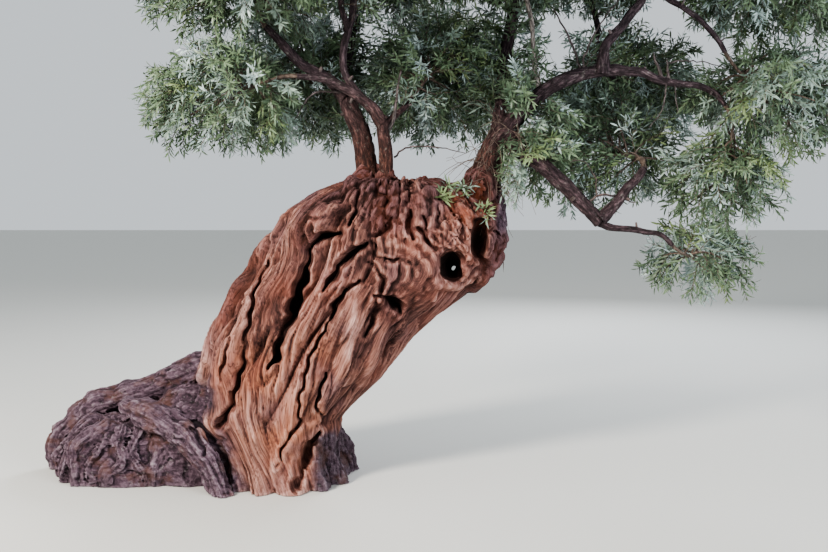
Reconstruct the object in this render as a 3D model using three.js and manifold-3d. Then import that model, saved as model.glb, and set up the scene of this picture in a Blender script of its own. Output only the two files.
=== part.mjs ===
// An ancient olive tree, in millimetres, +Z up. The origin is on the flat cut under the trunk, at ground
// level. The trunk leans: it is a bundle of fluted ridges that swells into a knotted head, with old roots
// spread out on one side of its foot. Two stems and one thick limb rise from the head, and their boughs
// carry masses of foliage. Each mass is one branching stem with flat blades fused on, and a blade stands
// for a spray of leaves.
import * as THREE from "three";
import { mergeVertices } from "three/addons/utils/BufferGeometryUtils.js";
import Module from "manifold-3d";

const wasm = await Module();
wasm.setup();

// Driving dimensions
const JOINT_GAP = 0.4; // clearance that is left where a limb is cut to the shape of what carries it
const TIP_GAP = 0.3; // clearance between a bough's flat tip and the stem of its foliage
const GROUND_CUT = 400; // depth below ground that the cut under the trunk clears

// The trunk's outline at each height: height, left edge, right edge, half of its depth
const SLICES = [
  [-80, -270, 390, 370],
  [130, -310, 360, 375],
  [380, -490, 385, 400],
  [620, -480, 615, 425],
  [860, -420, 810, 435],
  [1060, -285, 1040, 430],
  [1250, -135, 1290, 420],
  [1450, -55, 1345, 400],
  [1620, 55, 1335, 370],
  [1740, 250, 1240, 310],
  [1800, 420, 1010, 230],
];

// The ridges that run up the trunk, by their bearing on its outline in degrees (0 is +X, 270 the front)
const RIDGES = [15, 45, 76, 104, 132, 161, 190, 226, 256, 283, 311, 343];
const CREASE_DEPTH = 85; // how far the crease between two ridges lies inside the outline
const FLANK_DEPTH = 16; // the same for a ridge's flanks, each side of its crest
const FLANK_AT = 0.3; // where a flank lies, as a share of the way to the next ridge
const RIDGE_SWAY = 4; // degrees that a ridge wanders to each side as it climbs
const RIDGE_SWAY_HEIGHT = 230;
const RIDGE_SWAY_STEP = 2.1; // difference between two ridges in the sway's phase
const RIDGE_FLARE = 75; // how far a ridge's foot steps out at the ground
const CREASE_FLARE = 25;
const FLARE_HEIGHT = 420;
const HOLE_SIDES = 9;
const ROOT_SIDES = 6;
const ROOT_STEPS = 5;
const COLLAR_STEPS = 3;
const FISSURE_SIDES = 5;
const FISSURE_STEPS = 5;

// Old roots above the ground, and the collars at the feet of the stems: points down the middle, and the
// radius at each
const ROOTS = [
  {
    path: [[-330, 130, 690], [-560, 170, 600], [-850, 200, 490], [-1150, 210, 410], [-1370, 200, 230],
      [-1440, 190, -40]],
    radii: [135, 130, 118, 110, 95, 80],
  },
  {
    path: [[-900, -60, 420], [-700, -170, 360], [-480, -270, 270], [-330, -350, 130], [-250, -420, -40]],
    radii: [85, 95, 88, 80, 82],
  },
  {
    path: [[250, 130, 420], [320, 150, 240], [370, 160, 100], [400, 170, -60]],
    radii: [60, 70, 82, 95],
  },
];
const COLLARS = [
  {
    path: [[1215, -60, 1800], [1268, -80, 1640], [1300, -110, 1480], [1290, -130, 1330],
      [1240, -140, 1240]],
    radii: [105, 88, 66, 52, 34],
  },
  {
    path: [[545, 60, 1845], [520, 30, 1740], [440, -20, 1620]],
    radii: [72, 110, 120],
  },
  {
    path: [[650, -60, 1835], [665, -90, 1740], [700, -150, 1600]],
    radii: [52, 90, 110],
  },
];

// Rounded swellings: centre, half sizes along the grain, through the trunk and across, and the tilt of the
// grain in degrees
const BURLS = [
  { name: "root mound", at: [-930, 20, 60], half: [500, 390, 430], tilt: 0 },
  { name: "root web", at: [-500, 40, 160], half: [350, 310, 400], tilt: 12 },
  { name: "left shoulder", at: [285, -200, 1570], half: [210, 185, 115], tilt: 38 },
  { name: "left crest", at: [165, -20, 1480], half: [250, 240, 140], tilt: 52 },
  { name: "middle knob", at: [600, -200, 1640], half: [210, 200, 165], tilt: 25 },
  { name: "round burl", at: [835, -230, 1245], half: [225, 215, 180], tilt: 45 },
  { name: "pitted knob", at: [1050, -160, 1460], half: [250, 235, 205], tilt: 30 },
  { name: "top right", at: [990, -20, 1665], half: [290, 270, 132], tilt: -8 },
  { name: "back burl", at: [900, 200, 1370], half: [320, 225, 220], tilt: 40 },
];

// Hollows that go right through or deep into the head: ends, radius, and how much taller than wide
const THROUGH_HOLE = { from: [1018, -560, 1306], to: [1068, 520, 1240], radius: 52, rise: 1.3 };
const HOLLOWS = [
  { name: "right hollow", at: [1192, -330, 1450], half: [135, 190, 52], tilt: 84 },
  { name: "knot hole", at: [-18, -390, 1087], half: [44, 90, 24], tilt: 60 },
];

// Long fissures in the front and back of the trunk: points in X and Z, half width, and depth
const FISSURES = [
  {
    side: -1, half: 30, deep: 130,
    path: [[400, 1490], [270, 1465], [215, 1330], [183, 1220], [134, 1050], [60, 880], [0, 730]],
  },
  {
    side: -1, half: 24, deep: 110,
    path: [[548, 1440], [448, 1370], [386, 1286], [300, 1165]],
  },
  {
    side: -1, half: 22, deep: 100,
    path: [[310, 740], [285, 610], [255, 430], [120, 300]],
  },
  {
    side: 1, half: 30, deep: 120,
    path: [[560, 1380], [400, 1180], [300, 980], [150, 740], [90, 480]],
  },
];

// Limbs in the order in which they grow: what carries each, its radius at both ends and its path. Some show
// from the front, and foliage keeps out of the way before them.
const LIMBS = [
  {
    name: "left_stem", on: "trunk", r: [62, 52], shows: true,
    path: [[545, 60, 1660], [532, 60, 1880], [500, 60, 2060], [415, 60, 2290]],
  },
  {
    name: "front_stem", on: "trunk", r: [44, 36], shows: true,
    path: [[645, -60, 1660], [652, -62, 1900], [650, -62, 2020], [632, -60, 2140]],
  },
  {
    name: "crossing_bough", on: "front_stem", r: [33, 19], shows: true,
    path: [[632, -60, 2140], [570, -72, 2225], [471, -86, 2300], [372, -92, 2352], [250, -110, 2385],
      [140, -120, 2395]],
  },
  {
    name: "upright_bough", on: "crossing_bough", r: [25, 17], shows: true,
    path: [[575, -72, 2215], [490, -40, 2300], [417, -25, 2410], [399, -10, 2575], [446, 0, 2765],
      [470, 10, 3050], [480, 20, 3330]],
  },
  {
    name: "left_bough", on: "left_stem", r: [40, 19], shows: true,
    path: [[415, 60, 2290], [345, 62, 2365], [246, 50, 2435], [141, 30, 2490], [43, 10, 2595],
      [-57, 0, 2700]],
  },
  {
    name: "side_bough", on: "front_stem", r: [20, 15],
    path: [[640, -60, 2100], [690, -30, 2165], [745, 20, 2220], [800, 90, 2290]],
  },
  {
    name: "back_left_bough", on: "left_stem", r: [36, 24],
    path: [[490, 70, 2080], [420, 260, 2260], [330, 430, 2400], [240, 580, 2470]],
  },
  {
    name: "high_back_left_bough", on: "back_left_bough", r: [24, 17],
    path: [[360, 375, 2350], [400, 500, 2600], [450, 620, 2850], [500, 700, 3010]],
  },
  {
    name: "front_left_bough", on: "upright_bough", r: [18, 13],
    path: [[425, 0, 2690], [400, -200, 2800], [400, -410, 2880], [410, -580, 2930]],
  },
  {
    name: "right_stem", on: "trunk", r: [90, 62],
    path: [[1205, -60, 1560], [1238, -60, 1800], [1300, -60, 2010], [1394, -70, 2137]],
  },
  {
    name: "arched_bough", on: "right_stem", r: [46, 35], shows: true,
    path: [[1394, -70, 2137], [1496, -100, 2244], [1625, -130, 2339], [1749, -150, 2388],
      [1916, -180, 2420]],
  },
  {
    name: "arched_bough_end", on: "arched_bough", r: [30, 14], shows: true,
    path: [[1916, -180, 2420], [2113, -200, 2410], [2257, -200, 2365], [2459, -200, 2331],
      [2549, -190, 2292], [2611, -180, 2225]],
  },
  {
    name: "rising_bough", on: "arched_bough", r: [31, 20], shows: true,
    path: [[1900, -185, 2410], [1900, -200, 2490], [1915, -200, 2560], [1968, -180, 2630],
      [2050, -150, 2724], [2135, -130, 2820], [2180, -80, 3000], [2215, -30, 3200]],
  },
  {
    name: "overhanging_bough", on: "rising_bough", r: [19, 13], shows: true,
    path: [[2155, -112, 2880], [2220, -140, 2862], [2300, -160, 2810], [2380, -172, 2766],
      [2474, -180, 2696], [2551, -180, 2611], [2607, -170, 2528]],
  },
  {
    name: "drooping_bough", on: "right_stem", r: [54, 35], shows: true,
    path: [[1345, -65, 2080], [1440, -95, 1985], [1514, -120, 1918], [1626, -160, 1824],
      [1740, -180, 1725], [1837, -200, 1610], [1894, -210, 1546]],
  },
  {
    name: "drooping_bough_end", on: "drooping_bough", r: [21, 13], shows: true,
    path: [[1894, -210, 1546], [1985, -212, 1512], [2128, -200, 1505], [2247, -190, 1482],
      [2320, -180, 1418]],
  },
  {
    name: "elbow_bough", on: "drooping_bough", r: [33, 24], shows: true,
    path: [[1885, -205, 1558], [1956, -180, 1633], [2031, -150, 1708], [2126, -100, 1800],
      [2175, -40, 1860]],
  },
  {
    name: "pale_shoot", on: "arched_bough", r: [15, 13],
    path: [[1545, -110, 2285], [1530, -100, 2420], [1512, -75, 2600], [1490, -45, 2780], [1465, -10, 2930]],
  },
  {
    name: "leader_bough", on: "right_stem", r: [50, 25],
    path: [[1330, -55, 2060], [1345, 70, 2260], [1380, 190, 2520], [1430, 200, 2850], [1470, 180, 3200],
      [1480, 170, 3520]],
  },
  {
    name: "back_bough", on: "leader_bough", r: [32, 22],
    path: [[1350, 90, 2290], [1290, 300, 2420], [1190, 520, 2500], [1120, 700, 2530]],
  },
  {
    name: "back_right_bough", on: "arched_bough", r: [30, 20],
    path: [[1740, -148, 2385], [1860, 100, 2470], [2020, 400, 2500], [2140, 680, 2490]],
  },
  {
    name: "high_back_right_bough", on: "back_right_bough", r: [22, 15],
    path: [[1960, 285, 2492], [1990, 430, 2700], [1985, 590, 2890], [1970, 690, 3010]],
  },
  {
    name: "front_right_bough", on: "rising_bough", r: [18, 13],
    path: [[2172, -95, 2960], [2120, -280, 3030], [2050, -450, 3070], [1990, -580, 3090]],
  },
  {
    name: "far_right_bough", on: "rising_bough", r: [18, 13],
    path: [[2172, -90, 2965], [2330, -60, 3010], [2480, -20, 3020], [2600, 10, 3010]],
  },
];

// Masses of foliage: the limb that carries each, its centre, and its half sizes along X, Y and Z
const MASSES = [
  { name: "foliage_left_low", on: "crossing_bough", at: [-330, 0, 2260], half: [590, 560, 430] },
  { name: "foliage_left", on: "left_bough", at: [-190, -40, 3000], half: [700, 640, 500] },
  { name: "foliage_left_back", on: "back_left_bough", at: [20, 930, 2480], half: [700, 640, 560] },
  {
    name: "foliage_back_high_left", on: "high_back_left_bough",
    at: [600, 1020, 3380], half: [800, 660, 540],
  },
  { name: "foliage_front_left", on: "front_left_bough", at: [430, -1000, 3080], half: [800, 620, 480] },
  { name: "foliage_left_top", on: "upright_bough", at: [480, 0, 3760], half: [760, 720, 500] },
  { name: "foliage_middle", on: "side_bough", at: [930, 330, 2480], half: [480, 430, 480] },
  { name: "foliage_back", on: "back_bough", at: [1060, 1110, 2500], half: [700, 640, 560] },
  { name: "foliage_middle_high", on: "pale_shoot", at: [1300, 60, 3170], half: [560, 540, 420] },
  { name: "foliage_top", on: "leader_bough", at: [1480, 140, 3960], half: [800, 760, 520] },
  { name: "foliage_front_right", on: "front_right_bough", at: [1880, -1000, 3150], half: [800, 620, 500] },
  { name: "foliage_right_top", on: "rising_bough", at: [2350, 140, 3680], half: [780, 740, 520] },
  { name: "foliage_far_right", on: "far_right_bough", at: [2980, 60, 2980], half: [600, 620, 500] },
  { name: "foliage_right", on: "overhanging_bough", at: [2920, -60, 2230], half: [570, 560, 440] },
  { name: "foliage_right_drooping", on: "arched_bough_end", at: [2640, -60, 1780], half: [420, 400, 440] },
  { name: "foliage_right_low", on: "drooping_bough_end", at: [2560, 60, 1330], half: [420, 440, 330] },
  { name: "foliage_under_arch", on: "elbow_bough", at: [2030, 420, 1980], half: [600, 480, 470] },
  { name: "foliage_back_right", on: "back_right_bough", at: [2320, 1120, 2420], half: [720, 640, 540] },
  {
    name: "foliage_back_high_right", on: "high_back_right_bough",
    at: [1970, 1060, 3370], half: [800, 660, 540],
  },
];

// How finely limbs are faceted
const LIMB_STEP = 150; // length of a limb's straight stretches
const THICK_LIMB = 30; // a limb of more than this radius has more sides
const THICK_SIDES = 7;
const THIN_SIDES = 5;

// The rule by which a mass branches
const TWIGS = 6; // twigs on a mass's stem
const SMALL_MASS = 500; // a mass of less than this half size has one twig fewer
const TWIG_SHORT = 0.85; // how many sprays' lengths a twig stops short of the edge of its mass
const STEM_RADIUS = 12; // least radius of a mass's stem at its foot
const STEM_TAPER = 0.35;
const STEM_LEAD = 0.35; // share of the way to the middle on which a stem keeps its bough's direction
const STEM_PAST = 0.3; // share of that way by which it runs on past the middle
const TWIG_FIRST = 0.3; // place of the first twig along the stem
const TWIG_LAST = 0.94;
const TWIG_RADIUS = 8;
const SPRAY_LENGTH = 350;
const SPRAY_WIDTH = 124;
const SPRAY_THICKNESS = 15;
const SPRAY_WIDEST = 0.42; // share of its length at which a spray is widest
const SPRAY_SINK = 2.5; // how far a spray's root is sunk past its twig's middle
const TIP_SINK = 9; // how far the root of the spray that ends a twig is sunk back into it
const SPRAY_SIZES = [1, 0.8, 0.62]; // a spray with too little room for one size is tried at the next
const SPRAYS_AT = [0.4, 0.72, 1]; // places along a twig; the last one ends it
const SPRAY_SPREAD = 0.9; // sideways lean of a side spray against its forward lean
const SPRAY_DROOP = 0.25;
const SPACE_MARGIN = 0.02; // share of a mass's half size that is left to each neighbour
const LIMB_CLEARANCE = 8;
const LIMB_SAMPLES = 40; // points along a limb that its window is measured from
const WINDOW_WIDTH = 40; // width kept clear of foliage each side of the limbs that show
const WINDOW_DEPTH = 900; // how far before them it is kept clear

// Materials
const wood = new THREE.MeshStandardMaterial({ color: 0x8a5a48, roughness: 0.9, metalness: 0 });
const bark = new THREE.MeshStandardMaterial({ color: 0x5b4148, roughness: 0.85, metalness: 0 });
const leaf = new THREE.MeshStandardMaterial({ color: 0x6c7f5c, roughness: 0.6, metalness: 0 });

const UP = new THREE.Vector3(0, 0, 1);
const vector = (p) => new THREE.Vector3(...p);

// A closed three.js geometry as a solid, and a solid as a geometry
function solid(geometry) {
  const bare = geometry.clone();
  bare.deleteAttribute("normal");
  bare.deleteAttribute("uv");
  const merged = mergeVertices(bare, 1e-3);
  return new wasm.Manifold(
    new wasm.Mesh({
      numProp: 3,
      vertProperties: new Float32Array(merged.attributes.position.array),
      triVerts: new Uint32Array(merged.index.array),
    }),
  );
}

function geometryOf(shape) {
  const mesh = shape.getMesh();
  return new THREE.BufferGeometry()
    .setAttribute("position", new THREE.BufferAttribute(new Float32Array(mesh.vertProperties), 3))
    .setIndex(new THREE.BufferAttribute(new Uint32Array(mesh.triVerts), 1));
}

const union = (shapes) => wasm.Manifold.union(shapes);

// The largest of the separate bodies in a solid
function largest(shape) {
  const bodies = shape.decompose();
  return bodies.reduce((a, b) => (b.volume() > a.volume() ? b : a));
}

// A cylinder bent along a curve, with its radius given at each share of the way; it can be grown all round
function bent(curve, radiusAt, sides, steps, grow = 0) {
  const geometry = new THREE.CylinderGeometry(1, 1, 1, sides, steps);
  const frames = curve.computeFrenetFrames(steps, false);
  const place = geometry.attributes.position;
  for (let i = 0; i < place.count; i++) {
    const share = place.getY(i) + 0.5;
    const k = Math.round(share * steps);
    const radius = radiusAt(share) + grow;
    const beyond = k === 0 ? -grow : k === steps ? grow : 0;
    const p = curve
      .getPointAt(share)
      .addScaledVector(frames.tangents[k], beyond)
      .addScaledVector(frames.binormals[k], place.getX(i) * radius)
      .addScaledVector(frames.normals[k], place.getZ(i) * radius);
    place.setXYZ(i, p.x, p.y, p.z);
  }
  return geometry;
}

const smoothCurve = (path) => new THREE.CatmullRomCurve3(path.map(vector), false, "centripetal");

// Value read from a list at a share of the way along it
function readAlong(values, share) {
  const x = Math.min(Math.max(share, 0), 1) * (values.length - 1);
  const i = Math.min(Math.floor(x), values.length - 2);
  return values[i] + (values[i + 1] - values[i]) * (x - i);
}

// The trunk's outline at a height: middle, half width and half depth
function outlineAt(z) {
  let i = 0;
  while (i < SLICES.length - 2 && z > SLICES[i + 1][0]) i++;
  const [low, high] = [SLICES[i], SLICES[i + 1]];
  const t = Math.min(Math.max((z - low[0]) / (high[0] - low[0]), 0), 1);
  const [left, right, depth] = [1, 2, 3].map((k) => low[k] + (high[k] - low[k]) * t);
  return { middle: (left + right) / 2, width: (right - left) / 2, depth };
}

// Where one side of the fluted trunk stands: a ridge takes four sides, which are a crease, a flank, the crest
// and a flank
function fluteAt(side, z) {
  const i = Math.floor(side / 4);
  const part = side % 4;
  const crest = RIDGES[i];
  const before = crest - ((crest - RIDGES.at(i - 1) + 360) % 360);
  const after = crest + ((RIDGES[(i + 1) % RIDGES.length] - crest + 360) % 360);
  const bearing = [
    (before + crest) / 2,
    crest + (before - crest) * FLANK_AT,
    crest,
    crest + (after - crest) * FLANK_AT,
  ][part];
  const flare = Math.max(0, 1 - z / FLARE_HEIGHT) ** 2;
  const crease = CREASE_FLARE * flare - CREASE_DEPTH;
  const out = part === 0 ? crease : RIDGE_FLARE * flare - FLANK_DEPTH * (part % 2);
  const sway = RIDGE_SWAY * Math.sin(z / RIDGE_SWAY_HEIGHT + RIDGE_SWAY_STEP * i);
  return { angle: THREE.MathUtils.degToRad(bearing + sway), out };
}

// The fluted body of the trunk: a cylinder whose rings follow the outline
function flutedSolid(grow) {
  const rings = SLICES.length - 1;
  const sides = RIDGES.length * 4;
  const geometry = new THREE.CylinderGeometry(1, 1, 1, sides, rings);
  const place = geometry.attributes.position;
  for (let i = 0; i < place.count; i++) {
    const ring = Math.round((place.getY(i) + 0.5) * rings);
    const z = SLICES[ring][0];
    const outline = outlineAt(z);
    const turn = Math.atan2(place.getX(i), place.getZ(i)) / (2 * Math.PI);
    const { angle, out } = fluteAt((Math.round(turn * sides) + sides) % sides, z);
    const rim = Math.hypot(place.getX(i), place.getZ(i)) > 0.5 ? 1 : 0;
    place.setXYZ(
      i,
      outline.middle + rim * (outline.width + out + grow) * Math.cos(angle),
      rim * (outline.depth + out + grow) * Math.sin(angle),
      z + (ring === rings ? grow : 0),
    );
  }
  return solid(geometry);
}

function rootSolid({ path, radii }, steps, grow) {
  return solid(bent(smoothCurve(path), (s) => readAlong(radii, s), ROOT_SIDES, steps, grow));
}

function ellipsoid({ at, half, tilt }, grow) {
  const geometry = new THREE.IcosahedronGeometry(1, 1);
  geometry.scale(half[0] + grow, half[1] + grow, half[2] + grow);
  geometry.rotateY(-THREE.MathUtils.degToRad(tilt));
  geometry.translate(...at);
  return solid(geometry);
}

// A fissure is a bent cylinder, stretched into the wood, that follows the face of the outline
function fissureSolid({ side, half, deep, path }) {
  const stretch = deep / half;
  const points = path.map(([x, z]) => {
    const outline = outlineAt(z);
    const across = Math.min(Math.abs((x - outline.middle) / outline.width), 0.95);
    return [x, (side * outline.depth * Math.sqrt(1 - across ** 2)) / stretch, z];
  });
  const radii = [half * 0.5, half, half, half, half * 0.35];
  const geometry = bent(smoothCurve(points), (s) => readAlong(radii, s), FISSURE_SIDES, FISSURE_STEPS);
  geometry.scale(1, stretch, 1);
  return solid(geometry);
}

function throughHoleSolid({ from, to, radius, rise }) {
  const axis = new THREE.LineCurve3(
    new THREE.Vector3(from[0], from[1], from[2] / rise),
    new THREE.Vector3(to[0], to[1], to[2] / rise),
  );
  const geometry = bent(axis, () => radius, HOLE_SIDES, 1);
  geometry.scale(1, 1, rise);
  return solid(geometry);
}

// The trunk, which can be grown by a small gap to cut what meets it
function trunkSolid(grow) {
  const wholes = union([
    flutedSolid(grow),
    ...ROOTS.map((root) => rootSolid(root, ROOT_STEPS, grow)),
    ...COLLARS.map((collar) => rootSolid(collar, COLLAR_STEPS, grow)),
    ...BURLS.map((burl) => ellipsoid(burl, grow)),
  ]);
  if (grow > 0) return wholes;
  const below = new THREE.BoxGeometry(6000, 6000, GROUND_CUT);
  below.translate(0, 0, -GROUND_CUT / 2);
  const cuts = union([
    solid(below),
    throughHoleSolid(THROUGH_HOLE),
    ...HOLLOWS.map((hollow) => ellipsoid(hollow, 0)),
    ...FISSURES.map(fissureSolid),
  ]);
  return largest(wholes.subtract(cuts));
}

// Limbs: each starts inside what carries it and is cut back to that surface
const limbSides = (radius) => (radius > THICK_LIMB ? THICK_SIDES : THIN_SIDES);

function limbRecord({ name, path, r, shows }) {
  const curve = smoothCurve(path);
  const steps = Math.max(3, Math.round(curve.getLength() / LIMB_STEP));
  const radiusAt = (share) => r[0] + (r[1] - r[0]) * share;
  const shape = (grow) => solid(bent(curve, radiusAt, limbSides(r[0]), steps, grow));
  return { name, shows, curve, radiusAt, shape, samples: curve.getSpacedPoints(LIMB_SAMPLES) };
}

function touches(a, b) {
  const [p, q] = [a.boundingBox(), b.boundingBox()];
  return [0, 1, 2].every((k) => p.min[k] < q.max[k] && q.min[k] < p.max[k]);
}

// The space of a mass: inside its own ellipsoid, and nearer to its middle than to any neighbour's
const depthIn = ({ at, half }, p) =>
  Math.hypot((p.x - at[0]) / half[0], (p.y - at[1]) / half[1], (p.z - at[2]) / half[2]);

function inSpace(mass, p) {
  const own = depthIn(mass, p);
  if (own > 1) return false;
  return MASSES.every((other) => other === mass || depthIn(other, p) > own + SPACE_MARGIN);
}

// A point is in the window if it lies close before a limb that shows from the front
function inWindow(p, limbs) {
  return limbs.some(
    (limb) =>
      limb.shows &&
      limb.samples.some((s, i) => {
        const before = p.y < s.y && p.y > s.y - WINDOW_DEPTH;
        return before && Math.hypot(p.x - s.x, p.z - s.z) < limb.radiusAt(i / LIMB_SAMPLES) + WINDOW_WIDTH;
      }),
  );
}

const clearOf = (shape, others) =>
  !others.some((other) => touches(shape, other) && shape.intersect(other).volume() > 0);

// Evenly spread directions, from a two-number golden sequence that can be carried on to any length
const GOLDEN_A = 0.7548776662466927;
const GOLDEN_B = 0.5698402909980532;

function spread(j) {
  const rise = 1 - 2 * ((0.5 + j * GOLDEN_A) % 1);
  const turn = 2 * Math.PI * ((0.5 + j * GOLDEN_B) % 1);
  const flat = Math.sqrt(1 - rise ** 2);
  return new THREE.Vector3(flat * Math.cos(turn), flat * Math.sin(turn), rise);
}

// A spray of leaves as one flat blade of eight faces, widest nearer its root
function sprayOf(root, direction, face, size, sink) {
  const side = new THREE.Vector3().crossVectors(direction, face).normalize();
  const normal = new THREE.Vector3().crossVectors(side, direction).normalize();
  const length = SPRAY_LENGTH * size + sink;
  const width = SPRAY_WIDTH * size;
  const at = (share, across, up) =>
    root
      .clone()
      .addScaledVector(direction, share * length - sink)
      .addScaledVector(side, (across * width) / 2)
      .addScaledVector(normal, (up * SPRAY_THICKNESS) / 2);
  const geometry = new THREE.OctahedronGeometry(1, 0);
  const place = geometry.attributes.position;
  for (let i = 0; i < place.count; i++) {
    const y = place.getY(i);
    const p = at(Math.abs(y) > 0.5 ? (y + 1) / 2 : SPRAY_WIDEST, place.getX(i), place.getZ(i));
    place.setXYZ(i, p.x, p.y, p.z);
  }
  const probes = [at(1, 0, 0), at(0.7, 0, 0), at(SPRAY_WIDEST, -1, 0), at(SPRAY_WIDEST, 1, 0)];
  return { shape: solid(geometry), probes };
}

// The stem of a mass goes on from its bough's tip, through the middle of the mass
function massStem(mass, limbs) {
  const limb = limbs.find((l) => l.name === mass.on);
  const tangent = limb.curve.getTangentAt(1);
  const start = limb.curve.getPointAt(1).addScaledVector(tangent, TIP_GAP);
  const centre = vector(mass.at);
  const reach = centre.distanceTo(start);
  const curve = new THREE.CubicBezierCurve3(
    start,
    start.clone().addScaledVector(tangent, reach * STEM_LEAD),
    centre.clone().lerp(start, 0.25),
    centre.clone().addScaledVector(centre.clone().sub(start), STEM_PAST),
  );
  const radius = Math.max(limb.radiusAt(1) * 0.9, STEM_RADIUS);
  const shape = solid(bent(curve, (s) => radius * (1 - STEM_TAPER * s), 4, 3));
  return { curve, shape, axis: centre.clone().sub(start).normalize() };
}

// A mass: twigs from its stem to evenly spread places, and sprays along each twig
function massSolid(mass, stem, limbs, kept) {
  const centre = vector(mass.at);
  const inner = vector(mass.half).subScalar(SPRAY_LENGTH * TWIG_SHORT);
  const twigs = mass.half[0] < SMALL_MASS ? TWIGS - 1 : TWIGS;
  const parts = [stem.shape];
  const fits = (probes, shape) =>
    probes.every((p) => inSpace(mass, p) && !inWindow(p, limbs)) && clearOf(shape, kept);
  for (let j = 0; j < twigs; j++) {
    const direction = spread(j);
    const end = centre.clone().add(direction.clone().multiply(inner));
    const along = (direction.dot(stem.axis) + 1) / 2;
    const from = stem.curve.getPointAt(TWIG_FIRST + (TWIG_LAST - TWIG_FIRST) * along);
    const twig = new THREE.LineCurve3(from, end);
    const twigShape = solid(bent(twig, (s) => TWIG_RADIUS * (1.25 - 0.5 * s), 3, 1));
    if (!fits(twig.getPoints(4).slice(1), twigShape)) continue;
    parts.push(twigShape);
    SPRAYS_AT.forEach((share, k) => {
      const ends = share === 1;
      const root = twig.getPointAt(share);
      const forward = twig.getTangentAt(share);
      const outward = root.clone().sub(centre).normalize();
      const side = new THREE.Vector3().crossVectors(forward, outward).normalize();
      const lean = ends ? 0 : (k % 2 ? 1 : -1) * SPRAY_SPREAD;
      const heading = forward.addScaledVector(side, lean).addScaledVector(UP, -SPRAY_DROOP).normalize();
      for (const size of SPRAY_SIZES) {
        const spray = sprayOf(root, heading, outward, size, ends ? TIP_SINK : SPRAY_SINK);
        const apart = clearOf(spray.shape, parts.filter((other) => other !== twigShape));
        if (!apart || !fits(spray.probes, spray.shape)) continue;
        parts.push(spray.shape);
        break;
      }
    });
  }
  return largest(union(parts));
}

// Assembly
const tree = new THREE.Group();
tree.name = "olive_tree";

function add(name, shape, material) {
  const mesh = new THREE.Mesh(geometryOf(shape), material);
  mesh.name = name;
  tree.add(mesh);
}

add("trunk", trunkSolid(0), wood);

const grownTrunk = trunkSolid(JOINT_GAP);
const placed = [];
for (const row of LIMBS) {
  const limb = limbRecord(row);
  const carrier = row.on === "trunk" ? grownTrunk : placed.find((other) => other.name === row.on).shape(0);
  if (!touches(limb.shape(0), carrier)) throw new Error(row.name + " does not reach " + row.on);
  let shape = limb.shape(0).subtract(grownTrunk);
  for (const other of placed) {
    const grown = other.shape(JOINT_GAP);
    if (touches(shape, grown)) shape = shape.subtract(grown);
  }
  placed.push(limb);
  add(row.name, largest(shape), bark);
}

const woody = [trunkSolid(LIMB_CLEARANCE), ...placed.map((limb) => limb.shape(LIMB_CLEARANCE))];
const stems = MASSES.map((mass) => massStem(mass, placed));
const grownMasses = [];
MASSES.forEach((mass, i) => {
  const others = stems.filter((stem) => stem !== stems[i]).map((stem) => stem.shape);
  const shape = massSolid(mass, stems[i], placed, [...woody, ...others, ...grownMasses]);
  grownMasses.push(shape);
  add(mass.name, shape, leaf);
});

export default tree;
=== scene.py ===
import math

import bpy
import numpy as np
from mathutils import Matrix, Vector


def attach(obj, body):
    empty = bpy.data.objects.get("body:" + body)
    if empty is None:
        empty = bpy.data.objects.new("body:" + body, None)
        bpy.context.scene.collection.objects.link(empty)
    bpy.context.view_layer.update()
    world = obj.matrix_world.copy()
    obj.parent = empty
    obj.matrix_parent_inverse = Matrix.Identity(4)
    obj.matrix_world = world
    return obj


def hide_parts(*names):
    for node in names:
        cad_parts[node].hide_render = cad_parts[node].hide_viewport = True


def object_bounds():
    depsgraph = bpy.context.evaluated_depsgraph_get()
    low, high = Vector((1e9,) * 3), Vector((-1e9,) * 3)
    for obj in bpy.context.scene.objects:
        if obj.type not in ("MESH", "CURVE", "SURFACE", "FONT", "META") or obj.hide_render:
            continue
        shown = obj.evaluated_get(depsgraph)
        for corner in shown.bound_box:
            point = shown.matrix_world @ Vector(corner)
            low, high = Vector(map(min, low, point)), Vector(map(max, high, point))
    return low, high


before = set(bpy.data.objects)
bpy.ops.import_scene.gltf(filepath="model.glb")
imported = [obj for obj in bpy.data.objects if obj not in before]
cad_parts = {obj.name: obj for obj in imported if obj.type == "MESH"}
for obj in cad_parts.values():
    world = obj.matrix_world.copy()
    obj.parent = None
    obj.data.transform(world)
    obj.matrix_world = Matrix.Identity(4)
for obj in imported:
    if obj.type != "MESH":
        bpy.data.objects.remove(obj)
cad_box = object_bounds()

# The photographer stood six metres before the trunk with the camera at eye level, tilted down a little. The
# lens gives the photograph's field of view, and 828 by 552 is its frame.
EYE = np.array([818.0, -6000.0, 1650.0])
TILT = math.atan(0.071)
PIXELS_PER_SLOPE = 1000
FRAME_SIZE = (828, 552)
SENSOR = 36
camera_data = bpy.data.cameras.new("camera")
camera_data.sensor_width = SENSOR
camera_data.lens = SENSOR * PIXELS_PER_SLOPE / FRAME_SIZE[0]
camera = bpy.data.objects.new("camera", camera_data)
camera.location = EYE / 1000
camera.rotation_euler = (math.pi / 2 - TILT, 0, 0)
bpy.context.scene.collection.objects.link(camera)
bpy.context.scene.camera = camera


# The studio is a wide pale floor under an even pale sky, with three large soft lamps: the main one high on
# the left before the tree, as the daylight falls in the photograph, a weaker one on the right and one behind.
def colour(text):
    """A colour written as six hexadecimal digits, as the values that a shader takes."""
    shares = [int(text[i:i + 2], 16) / 255 for i in (0, 2, 4)]
    linear = [c / 12.92 if c <= 0.04045 else ((c + 0.055) / 1.055) ** 2.4 for c in shares]
    return (*linear, 1.0)


def plain_finish(name, text, roughness):
    finish = bpy.data.materials.new(name)
    finish.use_nodes = True
    shader = finish.node_tree.nodes["Principled BSDF"]
    shader.inputs["Base Color"].default_value = colour(text)
    shader.inputs["Roughness"].default_value = roughness
    return finish


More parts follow.
